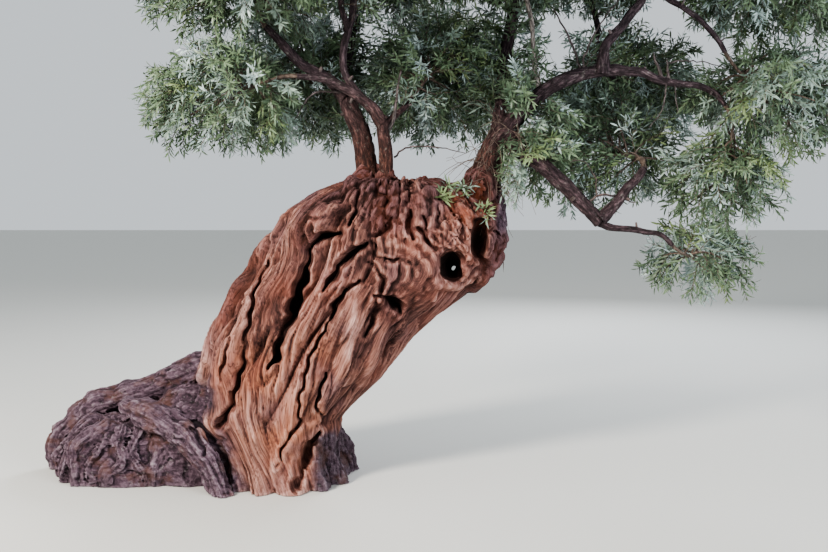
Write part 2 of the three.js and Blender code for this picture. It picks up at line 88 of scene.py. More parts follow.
FLOOR_HALF = 60
floor_mesh = bpy.data.meshes.new("floor")
corners = [(x * FLOOR_HALF, y * FLOOR_HALF, 0) for x, y in ((-1, -1), (1, -1), (1, 1), (-1, 1))]
floor_mesh.from_pydata(corners, [], [(0, 1, 2, 3)])
floor = bpy.data.objects.new("floor", floor_mesh)
floor_mesh.materials.append(plain_finish("floor_paint", "c9c9c4", 0.9))
bpy.context.scene.collection.objects.link(floor)

world = bpy.data.worlds.new("studio")
world.use_nodes = True
world.node_tree.nodes["Background"].inputs["Color"].default_value = colour("dfe5ea")
world.node_tree.nodes["Background"].inputs["Strength"].default_value = 0.82
bpy.context.scene.world = world
bpy.context.scene.view_settings.view_transform = "AgX"
bpy.context.scene.view_settings.look = "AgX - Medium High Contrast"
bpy.context.scene.view_settings.exposure = 0.1


def soft_lamp(name, at, aim, size, power, text):
    data = bpy.data.lights.new(name, "AREA")
    data.shape = "DISK"
    data.size = size
    data.energy = power
    data.color = colour(text)[:3]
    lamp = bpy.data.objects.new(name, data)
    lamp.location = at
    towards = np.array(aim, float) - np.array(at, float)
    flat = math.hypot(towards[0], towards[1])
    lamp.rotation_euler = (math.atan2(flat, -towards[2]), 0, math.atan2(-towards[0], towards[1]))
    bpy.context.scene.collection.objects.link(lamp)


soft_lamp("main_lamp", (-5.2, -6.8, 5.6), (0.5, 0, 1.3), 2.0, 1520, "fff6ec")
soft_lamp("side_lamp", (7.0, -7.0, 3.0), (1.2, 0, 1.8), 5, 640, "f1f4fb")
soft_lamp("back_lamp", (4.0, 8.5, 6.5), (1.0, 0, 2.2), 5, 700, "f4f7ff")


# Trunk: one piece of weathered, barkless wood that leans and swells into a knotted head. It grew as a bundle
# of strands that twist as they climb, split by long fissures, with burls, hollows and old roots that still
# have bark. Its outline, ridges, roots and burls have the part's sizes.
# Slices of its outline: height, left edge, right edge and half depth
SLICES = np.array([
    [-80, -270, 390, 370], [130, -310, 360, 375], [380, -490, 385, 400], [620, -480, 615, 425],
    [860, -420, 810, 435], [1060, -285, 1040, 430], [1250, -135, 1290, 420], [1450, -55, 1345, 400],
    [1620, 55, 1335, 370], [1740, 250, 1240, 310], [1800, 420, 1010, 230],
], float)
# Bearings of the ridges between which the trunk is creased, in degrees
RIDGES = [15, 45, 76, 104, 132, 161, 190, 226, 256, 283, 311, 343]
CREASE_DEPTH = 85
CREASE_SHARPNESS = 3.3  # power by which a ridge's side falls away into the crease
RIDGE_SWAY, RIDGE_SWAY_HEIGHT, RIDGE_SWAY_STEP = 4, 230, 2.1
RIDGE_FLARE, CREASE_FLARE, FLARE_HEIGHT = 75, 25, 420
# Height, and how many degrees the grain has turned there
TWIST = np.array([[-80, 0], [100, 4], [400, 15], [700, 28], [1150, 46], [1500, 56], [1850, 58]], float)
GRAIN_RADIUS = 500  # radius of the straight cylinder on which the grain is laid out
GRAIN_PASSES = 240  # passes that round the outline which the grain follows
ROOT_RADIUS = 90  # radius of the straight cylinder for the bark of the old roots
HEAD_TOP = 1806
# Lengths over which shapes are rounded into one another
TOP_EASE, BURL_EASE, MOUND_EASE, ROOT_EASE, COLLAR_EASE, STRAND_EASE = 90, 30, 70, 26, 50, 16
HOLLOW_EASE, HOLE_EASE, GROUND_EASE = 14, 10, 6
# Distances past which a shape changes nothing, so that it isn't worked out there
BURL_MARGIN, ROOT_MARGIN, ROOT_BARK_MARGIN, STRAND_MARGIN, WORN_MARGIN = 120, 260, 220, 150, 160
FISSURE_MARGIN, HOLLOW_MARGIN, HOLE_MARGIN = 60, 60, 180
RELIEF_REACH = 80  # how near the plain surface a point lies where the relief can matter
STEP = 9.0  # spacing of the grid that the surface is drawn from
BLOCK = 4  # grid steps in a block, which is worked out only where it is near the surface

# Old roots and the stems' bases: points and radii
ROOTS = [
    ([[-330, 130, 690], [-560, 170, 600], [-850, 200, 490], [-1150, 210, 410], [-1370, 200, 230],
      [-1440, 190, -40]], [135, 130, 118, 110, 95, 80]),
    ([[-900, -60, 440], [-700, -180, 400], [-500, -280, 310], [-350, -360, 180], [-250, -420, -40]],
     [78, 92, 88, 84, 80]),
    ([[250, 130, 420], [320, 150, 240], [370, 160, 100], [400, 170, -60]], [60, 70, 82, 95]),
]
# Thinner roots that run down over the mound: bearing at its top, bearing at the ground, and radius
MOUND_ROOTS = [(-28, -56, 70), (-66, -74, 40), (-80, -98, 60), (-108, -104, 36), (-116, -132, 64),
               (-146, -142, 44), (-158, -172, 56), (178, 168, 40), (152, 158, 64), (112, 130, 46),
               (84, 94, 66), (62, 56, 40)]
MOUND_ROOT_REACH = 1.005  # how far out they lie, as a share of the mound's half sizes
MOUND_ROOT_THINS = 0.62  # their radius at the ground, as a share of that at the top
UNDER_GROUND = -40
COLLARS = [
    ([[1215, -60, 1800], [1268, -80, 1640], [1300, -110, 1480], [1290, -130, 1330], [1240, -140, 1240]],
     [105, 88, 66, 52, 34]),
    ([[545, 60, 1845], [520, 30, 1740], [440, -20, 1620]], [72, 110, 120]),
    ([[650, -60, 1835], [665, -90, 1740], [700, -150, 1600]], [52, 90, 110]),
]
# Burls: centre, half sizes along the grain, through the trunk and across, and tilt
BURLS = {
    "root mound": ([-930, 35, 35], [424, 298, 358], 0),
    "root web": ([-500, 40, 160], [350, 310, 400], 12),
    "left shoulder": ([285, -200, 1570], [210, 185, 115], 38),
    "left crest": ([165, -20, 1480], [250, 240, 140], 52),
    "middle knob": ([600, -200, 1640], [210, 200, 165], 25),
    "round burl": ([835, -230, 1245], [225, 215, 180], 45),
    "pitted knob": ([1050, -160, 1460], [250, 235, 205], 30),
    "top right": ([990, -20, 1665], [290, 270, 132], -8),
    "back burl": ([900, 200, 1370], [320, 225, 220], 40),
}
# Strands that stand out of the front: points in X and Z, radius at both ends, and how far they are sunk
FRONT_STRANDS = {
    "edge of the long fissure": ([[180, 1500], [157, 1332], [124, 1175], [79, 1035], [12, 867]], 58, 44, 30),
    "left edge": ([[60, 1560], [-60, 1390], [-170, 1200], [-280, 1010], [-370, 840], [-430, 640]], 52, 62,
        30),
    "second from the left": ([[40, 1400], [-30, 1240], [-110, 1120], [-190, 900], [-235, 700]], 40, 48, 22),
    "middle slab": ([[480, 1400], [400, 1300], [330, 1180], [240, 1020], [170, 880]], 66, 42, 52),
    "first smooth strand": ([[499, 1169], [482, 1052], [465, 934], [426, 839], [381, 761]], 52, 76, 38),
    "second smooth strand": ([[650, 1052], [628, 962], [605, 878], [560, 766], [499, 632]], 48, 66, 34),
    "right edge": ([[745, 1070], [734, 960], [687, 850], [620, 740]], 44, 46, 26),
    "brow over the hole": ([[768, 1477], [846, 1449], [935, 1330], [985, 1215], [1076, 1176], [1140, 1216]],
        34, 26, 2),
    "rim of the round burl": ([[690, 1438], [800, 1400], [880, 1322], [945, 1203], [930, 1119]], 28, 22, 4),
    "pillar": ([[458, 1770], [462, 1700], [478, 1620]], 50, 40, 10),
    "strand right of the knob": ([[742, 1790], [752, 1700], [716, 1610], [650, 1560]], 34, 26, 10),
    "strand on the top": ([[830, 1780], [860, 1680], [905, 1600], [950, 1530]], 36, 28, 14),
    "first wavy strand": ([[885, 1707], [896, 1657], [928, 1598], [919, 1539], [952, 1497]], 20, 15, 4),
    "second wavy strand": ([[818, 1598], [827, 1539], [861, 1496], [852, 1455]], 22, 15, 4),
    "third wavy strand": ([[743, 1580], [768, 1539], [772, 1489], [717, 1446]], 22, 16, 4),
    "knob under the lobe": ([[457, 1589], [499, 1556], [516, 1496], [490, 1472]], 34, 20, 4),
    "crumbled knob": ([[625, 1455], [650, 1404], [642, 1371]], 42, 30, 6),
    "over the second fissure": ([[558, 1438], [591, 1388], [549, 1304], [474, 1237], [423, 1170]], 34, 28,
        16),
    "pale root": ([[20, 60], [45, 190], [120, 310], [230, 400]], 48, 40, 12),
    "right end": ([[1325, 1480], [1318, 1380], [1262, 1260], [1170, 1180]], 46, 44, 20),
}
# Fissures in the front: points in X and Z, half widths evenly along them, and depth
FRONT_FISSURES = {
    "long fissure": ([[400, 1490], [340, 1480], [270, 1462], [215, 1330], [183, 1220], [134, 1050],
        [60, 880], [0, 730]], [14, 24, 26, 42, 10], 150),
    "second fissure": ([[560, 1444], [510, 1410], [448, 1365], [386, 1286], [340, 1225], [293, 1165]],
        [8, 27, 24, 8], 130),
    "third fissure": ([[510, 1226], [427, 1165], [365, 1054], [320, 924]], [7, 14, 5], 80),
    "fourth fissure": ([[604, 1120], [584, 1052], [552, 906]], [7, 19, 5], 80),
    "curl in the knob": ([[578, 1742], [604, 1702], [640, 1716], [668, 1682], [652, 1644]], [3, 10, 7, 9, 3],
        55),
    "lower fissure": ([[325, 973], [255, 842], [202, 702], [172, 561], [149, 397], [79, 279], [32, 163]],
        [4, 10, 8, 3], 66),
    "lower right fissure": ([[313, 702], [266, 538], [278, 421]], [4, 11, 5], 50),
    "left groove": ([[-33, 1332], [-89, 1203], [-123, 1018], [-145, 867], [-179, 682], [-224, 531],
        [-296, 380]], [6, 11, 14, 18, 24], 64),
    "thin groove": ([[-168, 1119], [-224, 951], [-257, 828], [-296, 643]], [4, 9, 5], 40),
    "under the burl": ([[596, 1146], [656, 1128], [708, 1092], [746, 1040]], [6, 20, 31, 10], 130),
    "above the hole": ([[925, 1425], [960, 1370], [990, 1310], [1005, 1255]], [8, 20, 26, 16], 120),
    "first between the wavy strands": ([[868, 1590], [885, 1513], [928, 1455]], [4, 10, 5], 60),
    "second between the wavy strands": ([[784, 1590], [806, 1522], [806, 1462]], [4, 10, 5], 60),
    "third between the wavy strands": ([[950, 1640], [948, 1560], [985, 1500]], [4, 9, 4], 50),
    "beside the burl": ([[560, 1330], [612, 1290], [640, 1230], [650, 1170]], [6, 14, 8], 70),
    "over the burl": ([[578, 1384], [606, 1350], [652, 1356], [688, 1334], [742, 1350], [792, 1326]],
        [4, 9, 5, 9, 4, 2], 44),
    "under the knob": ([[560, 1478], [612, 1482], [662, 1512], [704, 1584]], [3, 9, 12, 4], 36),
    "left of the knob": ([[500, 1760], [490, 1640], [470, 1540]], [6, 12, 6], 60),
    "between the knobs": ([[800, 1620], [780, 1540], [820, 1460]], [6, 12, 6], 60),
    "beside the brow": ([[840, 1520], [900, 1440], [930, 1400]], [5, 11, 5], 50),
    "right slot": ([[1170, 1560], [1185, 1450], [1215, 1330]], [16, 32, 14], 150),
    "slot in the front root": ([[-470, 370], [-415, 312], [-365, 235]], [4, 10, 4], 45),
    "root hollow": ([[150, 60], [190, 200], [260, 330]], [30, 44, 14], 90),
}
BACK_FISSURES = {
    "back fissure": ([[560, 1380], [400, 1180], [300, 980], [150, 740], [90, 480]], [12, 28, 12], 120),
    "back groove": ([[900, 1620], [860, 1300], [700, 1000], [520, 760], [400, 520]], [8, 18, 8], 90),
    "thin back groove": ([[100, 1400], [-20, 1100], [-120, 800], [-160, 500]], [6, 16, 6], 80),
}
# Hollows: centre, half sizes and tilt, as for the burls
HOLLOWS = {
    "hollow under the back root": ([-540, -290, 500], [170, 150, 42], -16),
    "slot in the mound": ([-825, -300, 415], [70, 110, 18], -8),
    "right hollow": ([1192, -330, 1450], [135, 190, 52], 84),
    "knot hole": ([-18, -390, 1087], [50, 90, 24], 62),
    "pit under the brow": ([1120, -380, 1200], [30, 50, 20], 40),
    "hollow behind": ([760, 470, 1240], [110, 150, 48], 60),
}
# The hole through the head, along the line of sight: a ragged mouth, a narrow middle and a wider back
EYE_HOLE = ([[1026, -560, 1312], [1034, -300, 1302], [1046, -120, 1288], [1056, 60, 1268], [1064, 300, 1246],
             [1068, 560, 1238]], [86, 72, 34, 19, 36, 58])
EYE_TALLER = 1.25
# Strands of the wood's surface: how many go round, their length, height, the depth of cracks, and a seed
STRAND_SIZES = [(17, 950, 40, 16, 61), (41, 620, 17, 15, 71), (96, 420, 8, 8, 81)]
LIP_HEIGHT = 8  # how far a fissure's edge stands up
# Places where the grain runs in rings: centre in X and Z, radius, and -1 for the front or 1 for the back
SWIRLS = [(835, 1262, 175, -1), (1038, 1300, 150, -1), (900, 1370, 210, 1), (285, 1600, 70, -1)]


def unit(v):
    return v / np.maximum(np.linalg.norm(v, axis=-1, keepdims=True), 1e-9)


def rising(value, start, width):
    """0 up to a start, then evenly up to 1 over a width."""
    return np.clip((value - start) / width, 0, 1)


def path_lengths(path):
    """Length from the start of a line of points to each of them."""
    return np.r_[0, np.cumsum(np.linalg.norm(np.diff(path, axis=0), axis=1))]


def hashed(whole, seed):
    """A random whole number of 32 bits for each row of three whole numbers, the same on every run."""
    mixed = (whole[:, 0] * 73856093) ^ (whole[:, 1] * 19349663) ^ (whole[:, 2] * 83492791) ^ (seed * 40503)
    mixed = ((mixed ^ (mixed >> 13)) * 1274126177) & 0xFFFFFFFF
    mixed = ((mixed ^ (mixed >> 15)) * 668265263) & 0xFFFFFFFF
    return mixed ^ (mixed >> 16)


def noise(p, seed):
    """A smooth random value from -1 to 1 at each point. With p / 150 it has swells about 150 mm wide."""
    whole = np.floor(p).astype(np.int64)
    part = (p - whole).astype(np.float32)
    part = part * part * (3 - 2 * part)
    total = np.zeros(len(p), np.float32)
    for corner in range(8):
        offset = np.array([corner & 1, corner >> 1 & 1, corner >> 2 & 1])
        value = (hashed(whole + offset, seed) & 0xFFFF).astype(np.float32) / 32767.5 - 1
        weight = np.prod(np.where(offset, part, 1 - part), axis=1)
        total += weight * value
    return total


def noises(p, seed):
    """Three values of noise at each point, as a shift in X, Y and Z."""
    return np.stack([noise(p, seed + k) for k in range(3)], 1)


def lumps(p, seed):
    """Rounded lumps, one to each unit of space: 0 in the creases between them and near 1 on their crowns."""
    whole = np.floor(p).astype(np.int64)
    part = p - whole
    nearest, second = np.full(len(p), 9.0), np.full(len(p), 9.0)
    for cell in range(27):
        offset = np.array([cell % 3, cell // 3 % 3, cell // 9]) - 1
        value = hashed(whole + offset, seed)
        at = np.stack([value & 1023, value >> 10 & 1023, value >> 20 & 1023], 1) / 1023
        distance = np.linalg.norm(offset + at - part, axis=1)
        second = np.minimum(second, np.maximum(nearest, distance))
        nearest = np.minimum(nearest, distance)
    return 1 - np.exp(-4 * (second - nearest))


def joined(a, b, ease):
    """Union of two distance fields, rounded over the length ease."""
    h = np.maximum(ease - np.abs(a - b), 0) / ease
    return np.minimum(a, b) - h * h * ease / 4


def cut_by(a, b, ease):
    """Field a without field b."""
    return -joined(-a, b, ease)


def on_outline(p, slices=SLICES):
    """Bearing on the trunk's outline, share of the way out to it, and the length of that way."""
    left, right, depth = (np.interp(p[:, 2], slices[:, 0], slices[:, k]) for k in (1, 2, 3))
    middle, width = (left + right) / 2, (right - left) / 2
    across, through = (p[:, 0] - middle) / width, p[:, 1] / depth
    bearing = np.arctan2(through, across)
    return bearing, np.hypot(across, through), np.hypot(width * np.cos(bearing), depth * np.sin(bearing))


def smoother_foot(z):
    """Share of the relief at each height: the foot is less deeply grooved than the body above it."""
    return 0.36 + 0.64 * rising(z, 250, 600)


def fluted(p):
    """The fluted body of the trunk, whose ridges twist and wander as they climb."""
    bearing, share, scale = on_outline(p)
    z = p[:, 2]
    degrees = np.degrees(bearing) % 360
    crests = np.array([RIDGES[-1] - 360, *RIDGES, RIDGES[0] + 360])
    place = np.interp(degrees, crests, np.arange(-1, len(RIDGES) + 1))
    sway = RIDGE_SWAY * np.sin(z / RIDGE_SWAY_HEIGHT + RIDGE_SWAY_STEP * place)
    place = np.interp((degrees - sway) % 360, crests, np.arange(-1, len(RIDGES) + 1))
    side = 2 * np.abs(place - np.round(place))
    flare = np.maximum(0, 1 - z / FLARE_HEIGHT) ** 2
    wander = noise(np.stack([2.2 * np.cos(bearing), 2.2 * np.sin(bearing), z / 420], 1), 3)
    crease = CREASE_DEPTH * (0.8 + 0.45 * wander) * side ** CREASE_SHARPNESS * smoother_foot(z)
    out = flare * (RIDGE_FLARE + (CREASE_FLARE - RIDGE_FLARE) * side) - crease
    return cut_by(0.85 * (share - 1) * scale - out, HEAD_TOP - z, TOP_EASE)


def within(p, low, high, margin):
    """True for points inside a box that is widened by a margin."""
    return np.all((p > np.array(low) - margin) & (p < np.array(high) + margin), axis=1)


def near_path(p, path, margin):
    return within(p, np.min(path, 0), np.max(path, 0), margin)


def along_segments(p, path, *values):
    """Distance to a line of points, and each list of values read at the nearest place on it."""
    best = np.full(len(p), np.inf)
    read = [np.zeros(len(p)) for _ in values]
    for i in range(len(path) - 1):
        a, b = path[i], path[i + 1]
        t = np.clip((p - a) @ (b - a) / max((b - a) @ (b - a), 1e-9), 0, 1)
        distance = np.linalg.norm(p - a - t[:, None] * (b - a), axis=1)
        nearer = distance < best
        best[nearer] = distance[nearer]
        for value, kept in zip(values, read):
            kept[nearer] = (value[i] + (value[i + 1] - value[i]) * t)[nearer]
    return best, read


def smooth_path(points, step):
    """Points at an even step on the smooth curve through a few given points, as the part draws its limbs."""
    points = np.array(points, float)
    ends = 2 * points[0] - points[1], 2 * points[-1] - points[-2]
    full = np.vstack([ends[0], points, ends[1]])
    fine = [points[:1]]
    for i in range(1, len(points)):
        p = full[i - 1:i + 3]
        gaps = np.maximum(np.linalg.norm(np.diff(p, axis=0), axis=1) ** 0.5, 1e-4)
        out = (p[1] - p[0]) / gaps[0] - (p[2] - p[0]) / (gaps[0] + gaps[1]) + (p[2] - p[1]) / gaps[1]
        into = (p[2] - p[1]) / gaps[1] - (p[3] - p[1]) / (gaps[1] + gaps[2]) + (p[3] - p[2]) / gaps[2]
        t = np.linspace(0, 1, 24)[1:, None]
        start, end = out * gaps[1], into * gaps[1]
        rest = (2 * p[1] - 2 * p[2] + start + end) * t ** 3 + (3 * (p[2] - p[1]) - 2 * start - end) * t ** 2
        fine.append(p[1] + start * t + rest)
    fine = np.vstack(fine)
    lengths = path_lengths(fine)
    count = max(3, int(round(lengths[-1] / step)) + 1)
    at = np.linspace(0, lengths[-1], count)
    return np.stack([np.interp(at, lengths, fine[:, k]) for k in range(points.shape[1])], 1)


def spindle(p, at, half, tilt):
    """An ellipsoid that is tilted in the plane of X and Z."""
    turn = math.radians(tilt)
    q = p - np.array(at, float)
    along = q[:, 0] * math.cos(turn) + q[:, 2] * math.sin(turn)
    across = -q[:, 0] * math.sin(turn) + q[:, 2] * math.cos(turn)
    k = np.sqrt((along / half[0]) ** 2 + (q[:, 1] / half[1]) ** 2 + (across / half[2]) ** 2)
    return (k - 1) * min(half) * np.clip(k, 0.8, 1.4)


def tube(p, path, radii):
    """A round rod along a line of points, whose radius changes from one to the next."""
    distance, (radius,) = along_segments(p, np.array(path, float), radii)
    return distance - radius


def body_field(p):
    """The trunk before its strands, fissures and relief."""
    d = fluted(p)
    for name in sorted(BURLS, key=lambda name: "root" not in name):
        at, half, tilt = BURLS[name]
        near = within(p, at, at, max(half) + BURL_MARGIN)
        ease = MOUND_EASE if "root" in name else BURL_EASE
        d[near] = joined(d[near], spindle(p[near], at, half, tilt), ease)
    for listed, ease, uneven in ((ROOTS, ROOT_EASE, 1), (COLLARS, COLLAR_EASE, 0)):
        for path, radii in listed:
            near = near_path(p, path, ROOT_MARGIN)
            q = p[near]
            swelling = uneven * (8 + 20 * noise(q / 150, 33) + 10 * noise(q / 62, 34))
            d[near] = joined(d[near], tube(q, path, radii) + swelling, ease)
    return d


TRUNK_REACH = 700  # no part of the trunk lies farther through from Y = 0
FACE_REACH, FACE_STEP = 620, 8.0  # how far from Y = 0 the trunk's faces are looked for, and how finely


def face_depth(points, side):
    """Y of the trunk's front (side -1) or back (side 1) at each place in X and Z."""
    ys = np.arange(-FACE_REACH, FACE_REACH, FACE_STEP) * -side
    lines = np.empty((len(points), len(ys), 3))
    lines[:, :, [0, 2]] = points[:, None, :]
    lines[:, :, 1] = ys
    inside = (body_field(lines.reshape(-1, 3)) < 0).reshape(len(points), -1)
    return np.where(inside.any(1), ys[np.argmax(inside, 1)], 0)


def smoothed(values, passes):
    """A row of values, each averaged with its neighbours so many times."""
    values = np.array(values, float)
    for _ in range(passes):
        padded = np.r_[values[0], values, values[-1]]
        values = (padded[:-2] + padded[1:-1] * 2 + padded[2:]) / 4
    return values


# The thin roots of the mound lie on its ellipsoid, sway a little and end below the ground
at, half, _ = BURLS["root mound"]
for number, (leaves_at, lands_at, thick) in enumerate(MOUND_ROOTS):
    down = np.linspace(0, 1, 7)
    rise = np.radians(64 - 8 * (number % 3) - (66 - 8 * (number % 3)) * down)
    turn = np.radians(leaves_at + (lands_at - leaves_at) * down + 8 * np.sin(6 * down + 2.1 * number))
    path = np.array(at) + MOUND_ROOT_REACH * np.array(half) * np.stack(
        [np.cos(rise) * np.cos(turn), np.cos(rise) * np.sin(turn), np.sin(rise)], 1)
    path[-1, 2] = UNDER_GROUND
    ROOTS.append((path, list(thick * (1 - (1 - MOUND_ROOT_THINS) * down + 0.1 * np.sin(9 * down + number)))))

# The strands and the fissures lie on the body's own face, and the fissures' widths and depths vary
WORN_STRANDS = ("first smooth strand", "second smooth strand", "brow over the hole", "rim of the round burl")
strands, smooth_strands = [], []
for name, (path, first, last, sunk) in FRONT_STRANDS.items():
    flat = smooth_path(path, 40)
    share = np.linspace(0, 1, len(flat))
    bulge = 0.55 + 0.45 * np.sin(np.pi * np.clip(share, 0.08, 0.92)) ** 0.5
    radii = (first + (last - first) * share) * bulge
    ys = smoothed(face_depth(flat, -1), 3) + sunk
    strands.append((np.stack([flat[:, 0], ys, flat[:, 1]], 1), radii))
    if name in WORN_STRANDS:
        smooth_strands.append(strands[-1])

fissures = []
for side, listed in ((-1, FRONT_FISSURES), (1, BACK_FISSURES)):
    for path, widths, deep in listed.values():
        flat = smooth_path(path, 35)
        flat[:, 0] += 9 * np.sin(np.arange(len(flat)) * 1.9) + 6 * np.sin(np.arange(len(flat)) * 0.83)
        share = np.linspace(0, 1, len(flat))
        half = np.interp(share, np.linspace(0, 1, len(widths)), widths)
        steps = np.column_stack([np.arange(len(flat)), np.full((len(flat), 2), len(fissures) * 9.5)])
        half *= 1 + 0.35 * noise(steps / [2.2, 1, 1], 75)
        depths = deep * np.clip(0.72 + 0.55 * noise(steps / [3.5, 1, 1], 76), 0.25, 1)
        fissures.append((side, flat, smoothed(face_depth(flat, side), 2), half, smoothed(depths, 1)))


# The grain follows the outline with its corners rounded
heights = np.arange(SLICES[0, 0], SLICES[-1, 0] + 1, 10)
rounded_slices = np.stack([heights] + [
    smoothed(np.interp(heights, SLICES[:, 0], SLICES[:, k]), GRAIN_PASSES) for k in (1, 2, 3)], 1)


def grain_of(p):
    """Bearing round the straightened trunk, radius on it and length along the grain."""
    bearing, share, _ = on_outline(p, rounded_slices)
    turn = bearing + np.radians(np.interp(p[:, 2], TWIST[:, 0], TWIST[:, 1]))
    turn = turn + 0.07 * noise(p / [260, 260, 380], 11) + 0.016 * noise(p / 90, 12)
    return turn, GRAIN_RADIUS * (0.7 + 0.3 * np.clip(share, 0.4, 1.6)), 1.2 * p[:, 2] + 0.35 * p[:, 0]


def laid_out(turn, out, along):
    """Place on the straightened trunk: two coordinates across the grain and one along it."""
    return np.stack([out * np.cos(turn), out * np.sin(turn), along], 1)


def shingled(turn, along, count, length, seed):
    """Strands that lie over one another: the height across each, its tone, and the crack beside it."""
    around = np.stack([np.cos(turn), np.sin(turn)], 1)
    wander = (noise(np.column_stack([around * 1.7, along / length]), seed)
              + 0.4 * noise(np.column_stack([around * 5, along / (length * 0.35)]), seed + 1))
    place = turn / (2 * np.pi) * count + wander
    strand = np.floor(place)
    across = place - strand
    own = np.column_stack([strand % count * 7.3, along / (length * 0.7), np.zeros(len(turn))])
    strength = 0.55 + 0.45 * noise(own, seed + 2)
    height = np.sin(np.pi / 2 * np.clip(across / 0.7, 0, 1)) * np.clip((1 - across) / 0.1, 0, 1)
    cracked = np.clip(noise(own + 40, seed + 3) * 2.5, 0, 1)
    crack = np.exp(-(np.minimum(across, 1 - across) / 0.08) ** 2) * cracked
    return (height - 0.65) * strength, noise(own, seed + 4), crack


def rings_of(p):
    """How far a point belongs to a swirl of the grain, and its place across the rings."""
    belongs = np.zeros(len(p))
    across = np.zeros(len(p))
    for x, z, radius, side in SWIRLS:
        distance = np.hypot(p[:, 0] - x, (p[:, 2] - z) * 0.92)
        near = np.clip((radius * 1.15 - distance) / (radius * 0.35), 0, 1) * (p[:, 1] * side > 0)
        across = np.where(near > belongs, distance, across)
        belongs = np.maximum(belongs, near)
    across = across + 34 * noise(p / 80, 21) + 9 * noise(p / 28, 22)
    return belongs, across


def groove(value, sharpness):
    """Turns noise into rounded crests with narrow valleys, from 0 in a valley to 1."""
    return 1 - np.exp(-sharpness * np.abs(value))


def bark_share(p):
    """1 on the old roots, which keep their bark, and 0 on the bare wood."""
    edge = 80 * noise(p / 130, 31) + 40 * noise(p / 44, 32)
    mound = np.clip((-350 - p[:, 0] + 0.35 * (420 - p[:, 2]) + edge) / 90 + 0.5, 0, 1)
    stub = np.clip((330 - p[:, 2] + edge * 0.6) / 50, 0, 1) * rising(p[:, 0], 215, 50)
    strip = np.clip((p[:, 0] - 1300 + 0.3 * edge) / 22, 0, 1) * rising(p[:, 2], 1450, 80)
    return np.clip(mound + stub + strip, 0, 1)


def root_grain(p):
    """Place on the nearest root, straightened: two coordinates across it and one along it."""
    best, laid = np.full(len(p), np.inf), p.copy()
    for number, (path, radii) in enumerate(ROOTS):
        path = np.array(path, float)
        near = np.flatnonzero(near_path(p, path, ROOT_BARK_MARGIN))
        q = p[near]
        distance, (radius, along, x, y, z) = along_segments(q, path, radii, path_lengths(path), *path.T)
        heading = unit(path[-1] - path[0])
        side = unit(np.cross(heading, [0.1, 0.2, 1.0]))
        offset = q - np.stack([x, y, z], 1)
        across = unit(np.stack([offset @ side, offset @ np.cross(side, heading)], 1)) * ROOT_RADIUS
        nearer = distance - radius < best[near]
        best[near[nearer]] = (distance - radius)[nearer]
        laid[near[nearer]] = np.column_stack([across, along + 900 * number])[nearer]
    return laid


def knotted(p):
    """1 on the knotted head and 0 on the body below and left of it, where the grain runs straight."""
    edge = 60 * noise(p / 110, 51)
    return np.clip((p[:, 0] - 520 + edge) / 130, 0, 1) * np.clip((p[:, 2] - 1110 + edge) / 130, 0, 1)


def worn_smooth(p):
    """1 on the strands that weather has rubbed smooth and 0 away from them."""
    share = np.zeros(len(p))
    for path, radii in smooth_strands:
        near = near_path(p, path, WORN_MARGIN)
        distance, (radius,) = along_segments(p[near], path, radii)
        share[near] = np.maximum(share[near], np.clip((1.25 * radius + 14 - distance) / 26, 0, 1))
    return share


LEAST_SHARE = 0.02  # below this share a layer of the relief isn't worked out


def relief(p):
    """How far the weathered wood and the bark stand out, in millimetres."""
    turn, out, along = grain_of(p)
    grain = laid_out(turn, out, along)
    knots, bark = knotted(p), bark_share(p)
    belongs, across = rings_of(p)
    foot = smoother_foot(p[:, 2])
    # Swells, strands and the fine furrows between them
    height = 13 * noise(p / 150, 49) + 16 * (1 - foot) * noise(p / [75, 75, 150], 50)
    for count, length, amount, deep, seed in STRAND_SIZES:
        strand, _, crack = shingled(turn, along, count, length, seed)
        height += (amount * strand * (1 - 0.45 * knots) - deep * crack * (1 - 0.7 * belongs)) * foot
    height += 9 * (groove(noise(grain / [30, 30, 420], 43), 4) - 0.6)
    height *= (1 - 0.7 * belongs) * (1 - 0.6 * bark) * (1 - 0.72 * worn_smooth(p))
    # Rings in the swirls of the grain
    height += belongs * (1.6 * np.sin(across / 9) + 12 * (groove(noise(p / 70, 44), 5) - 0.7))
    # Knobs on the head
    knobby = knots * (1 - 0.6 * belongs) * (1 - bark)
    rough = np.flatnonzero(knobby > LEAST_SHARE)
    q = p[rough] + 26 * noises(p[rough] / 90, 52)
    knobs = 34 * (lumps(q / [150, 190, 170], 55) - 0.62) + 13 * (lumps(q / [58, 80, 66], 56) - 0.62)
    height[rough] += knobs * knobby[rough]
    # Rows of pits on the pitted knob
    pitted = np.clip(1.25 - np.hypot(p[:, 0] - 1085, (p[:, 2] - 1450) * 0.75) / 165, 0, 1) * (p[:, 1] < 0)
    rough = np.flatnonzero(pitted > LEAST_SHARE)
    q = p[rough]
    rows = np.stack([q[:, 0] * 0.86 + q[:, 2] * 0.5, q[:, 1], q[:, 2] * 0.86 - q[:, 0] * 0.5], 1)
    height[rough] -= 24 * pitted[rough] * (1 - lumps(rows / [25, 70, 52], 57))
    # Plates and ridges of bark along the roots
    rough = np.flatnonzero(bark > LEAST_SHARE)
    q = p[rough] + 16 * noises(p[rough] / 70, 36)
    fibres = root_grain(q)
    plates = 15 * (lumps(fibres / [62, 62, 230], 58) - 0.6) + 8 * (lumps(q / [80, 46, 38], 59) - 0.6)
    ridges = 13 * (groove(noise(fibres / [24, 24, 170], 48), 4) - 0.6) + 9 * noise(q / 90, 47)
    height[rough] += (plates + ridges) * bark[rough]
    return height


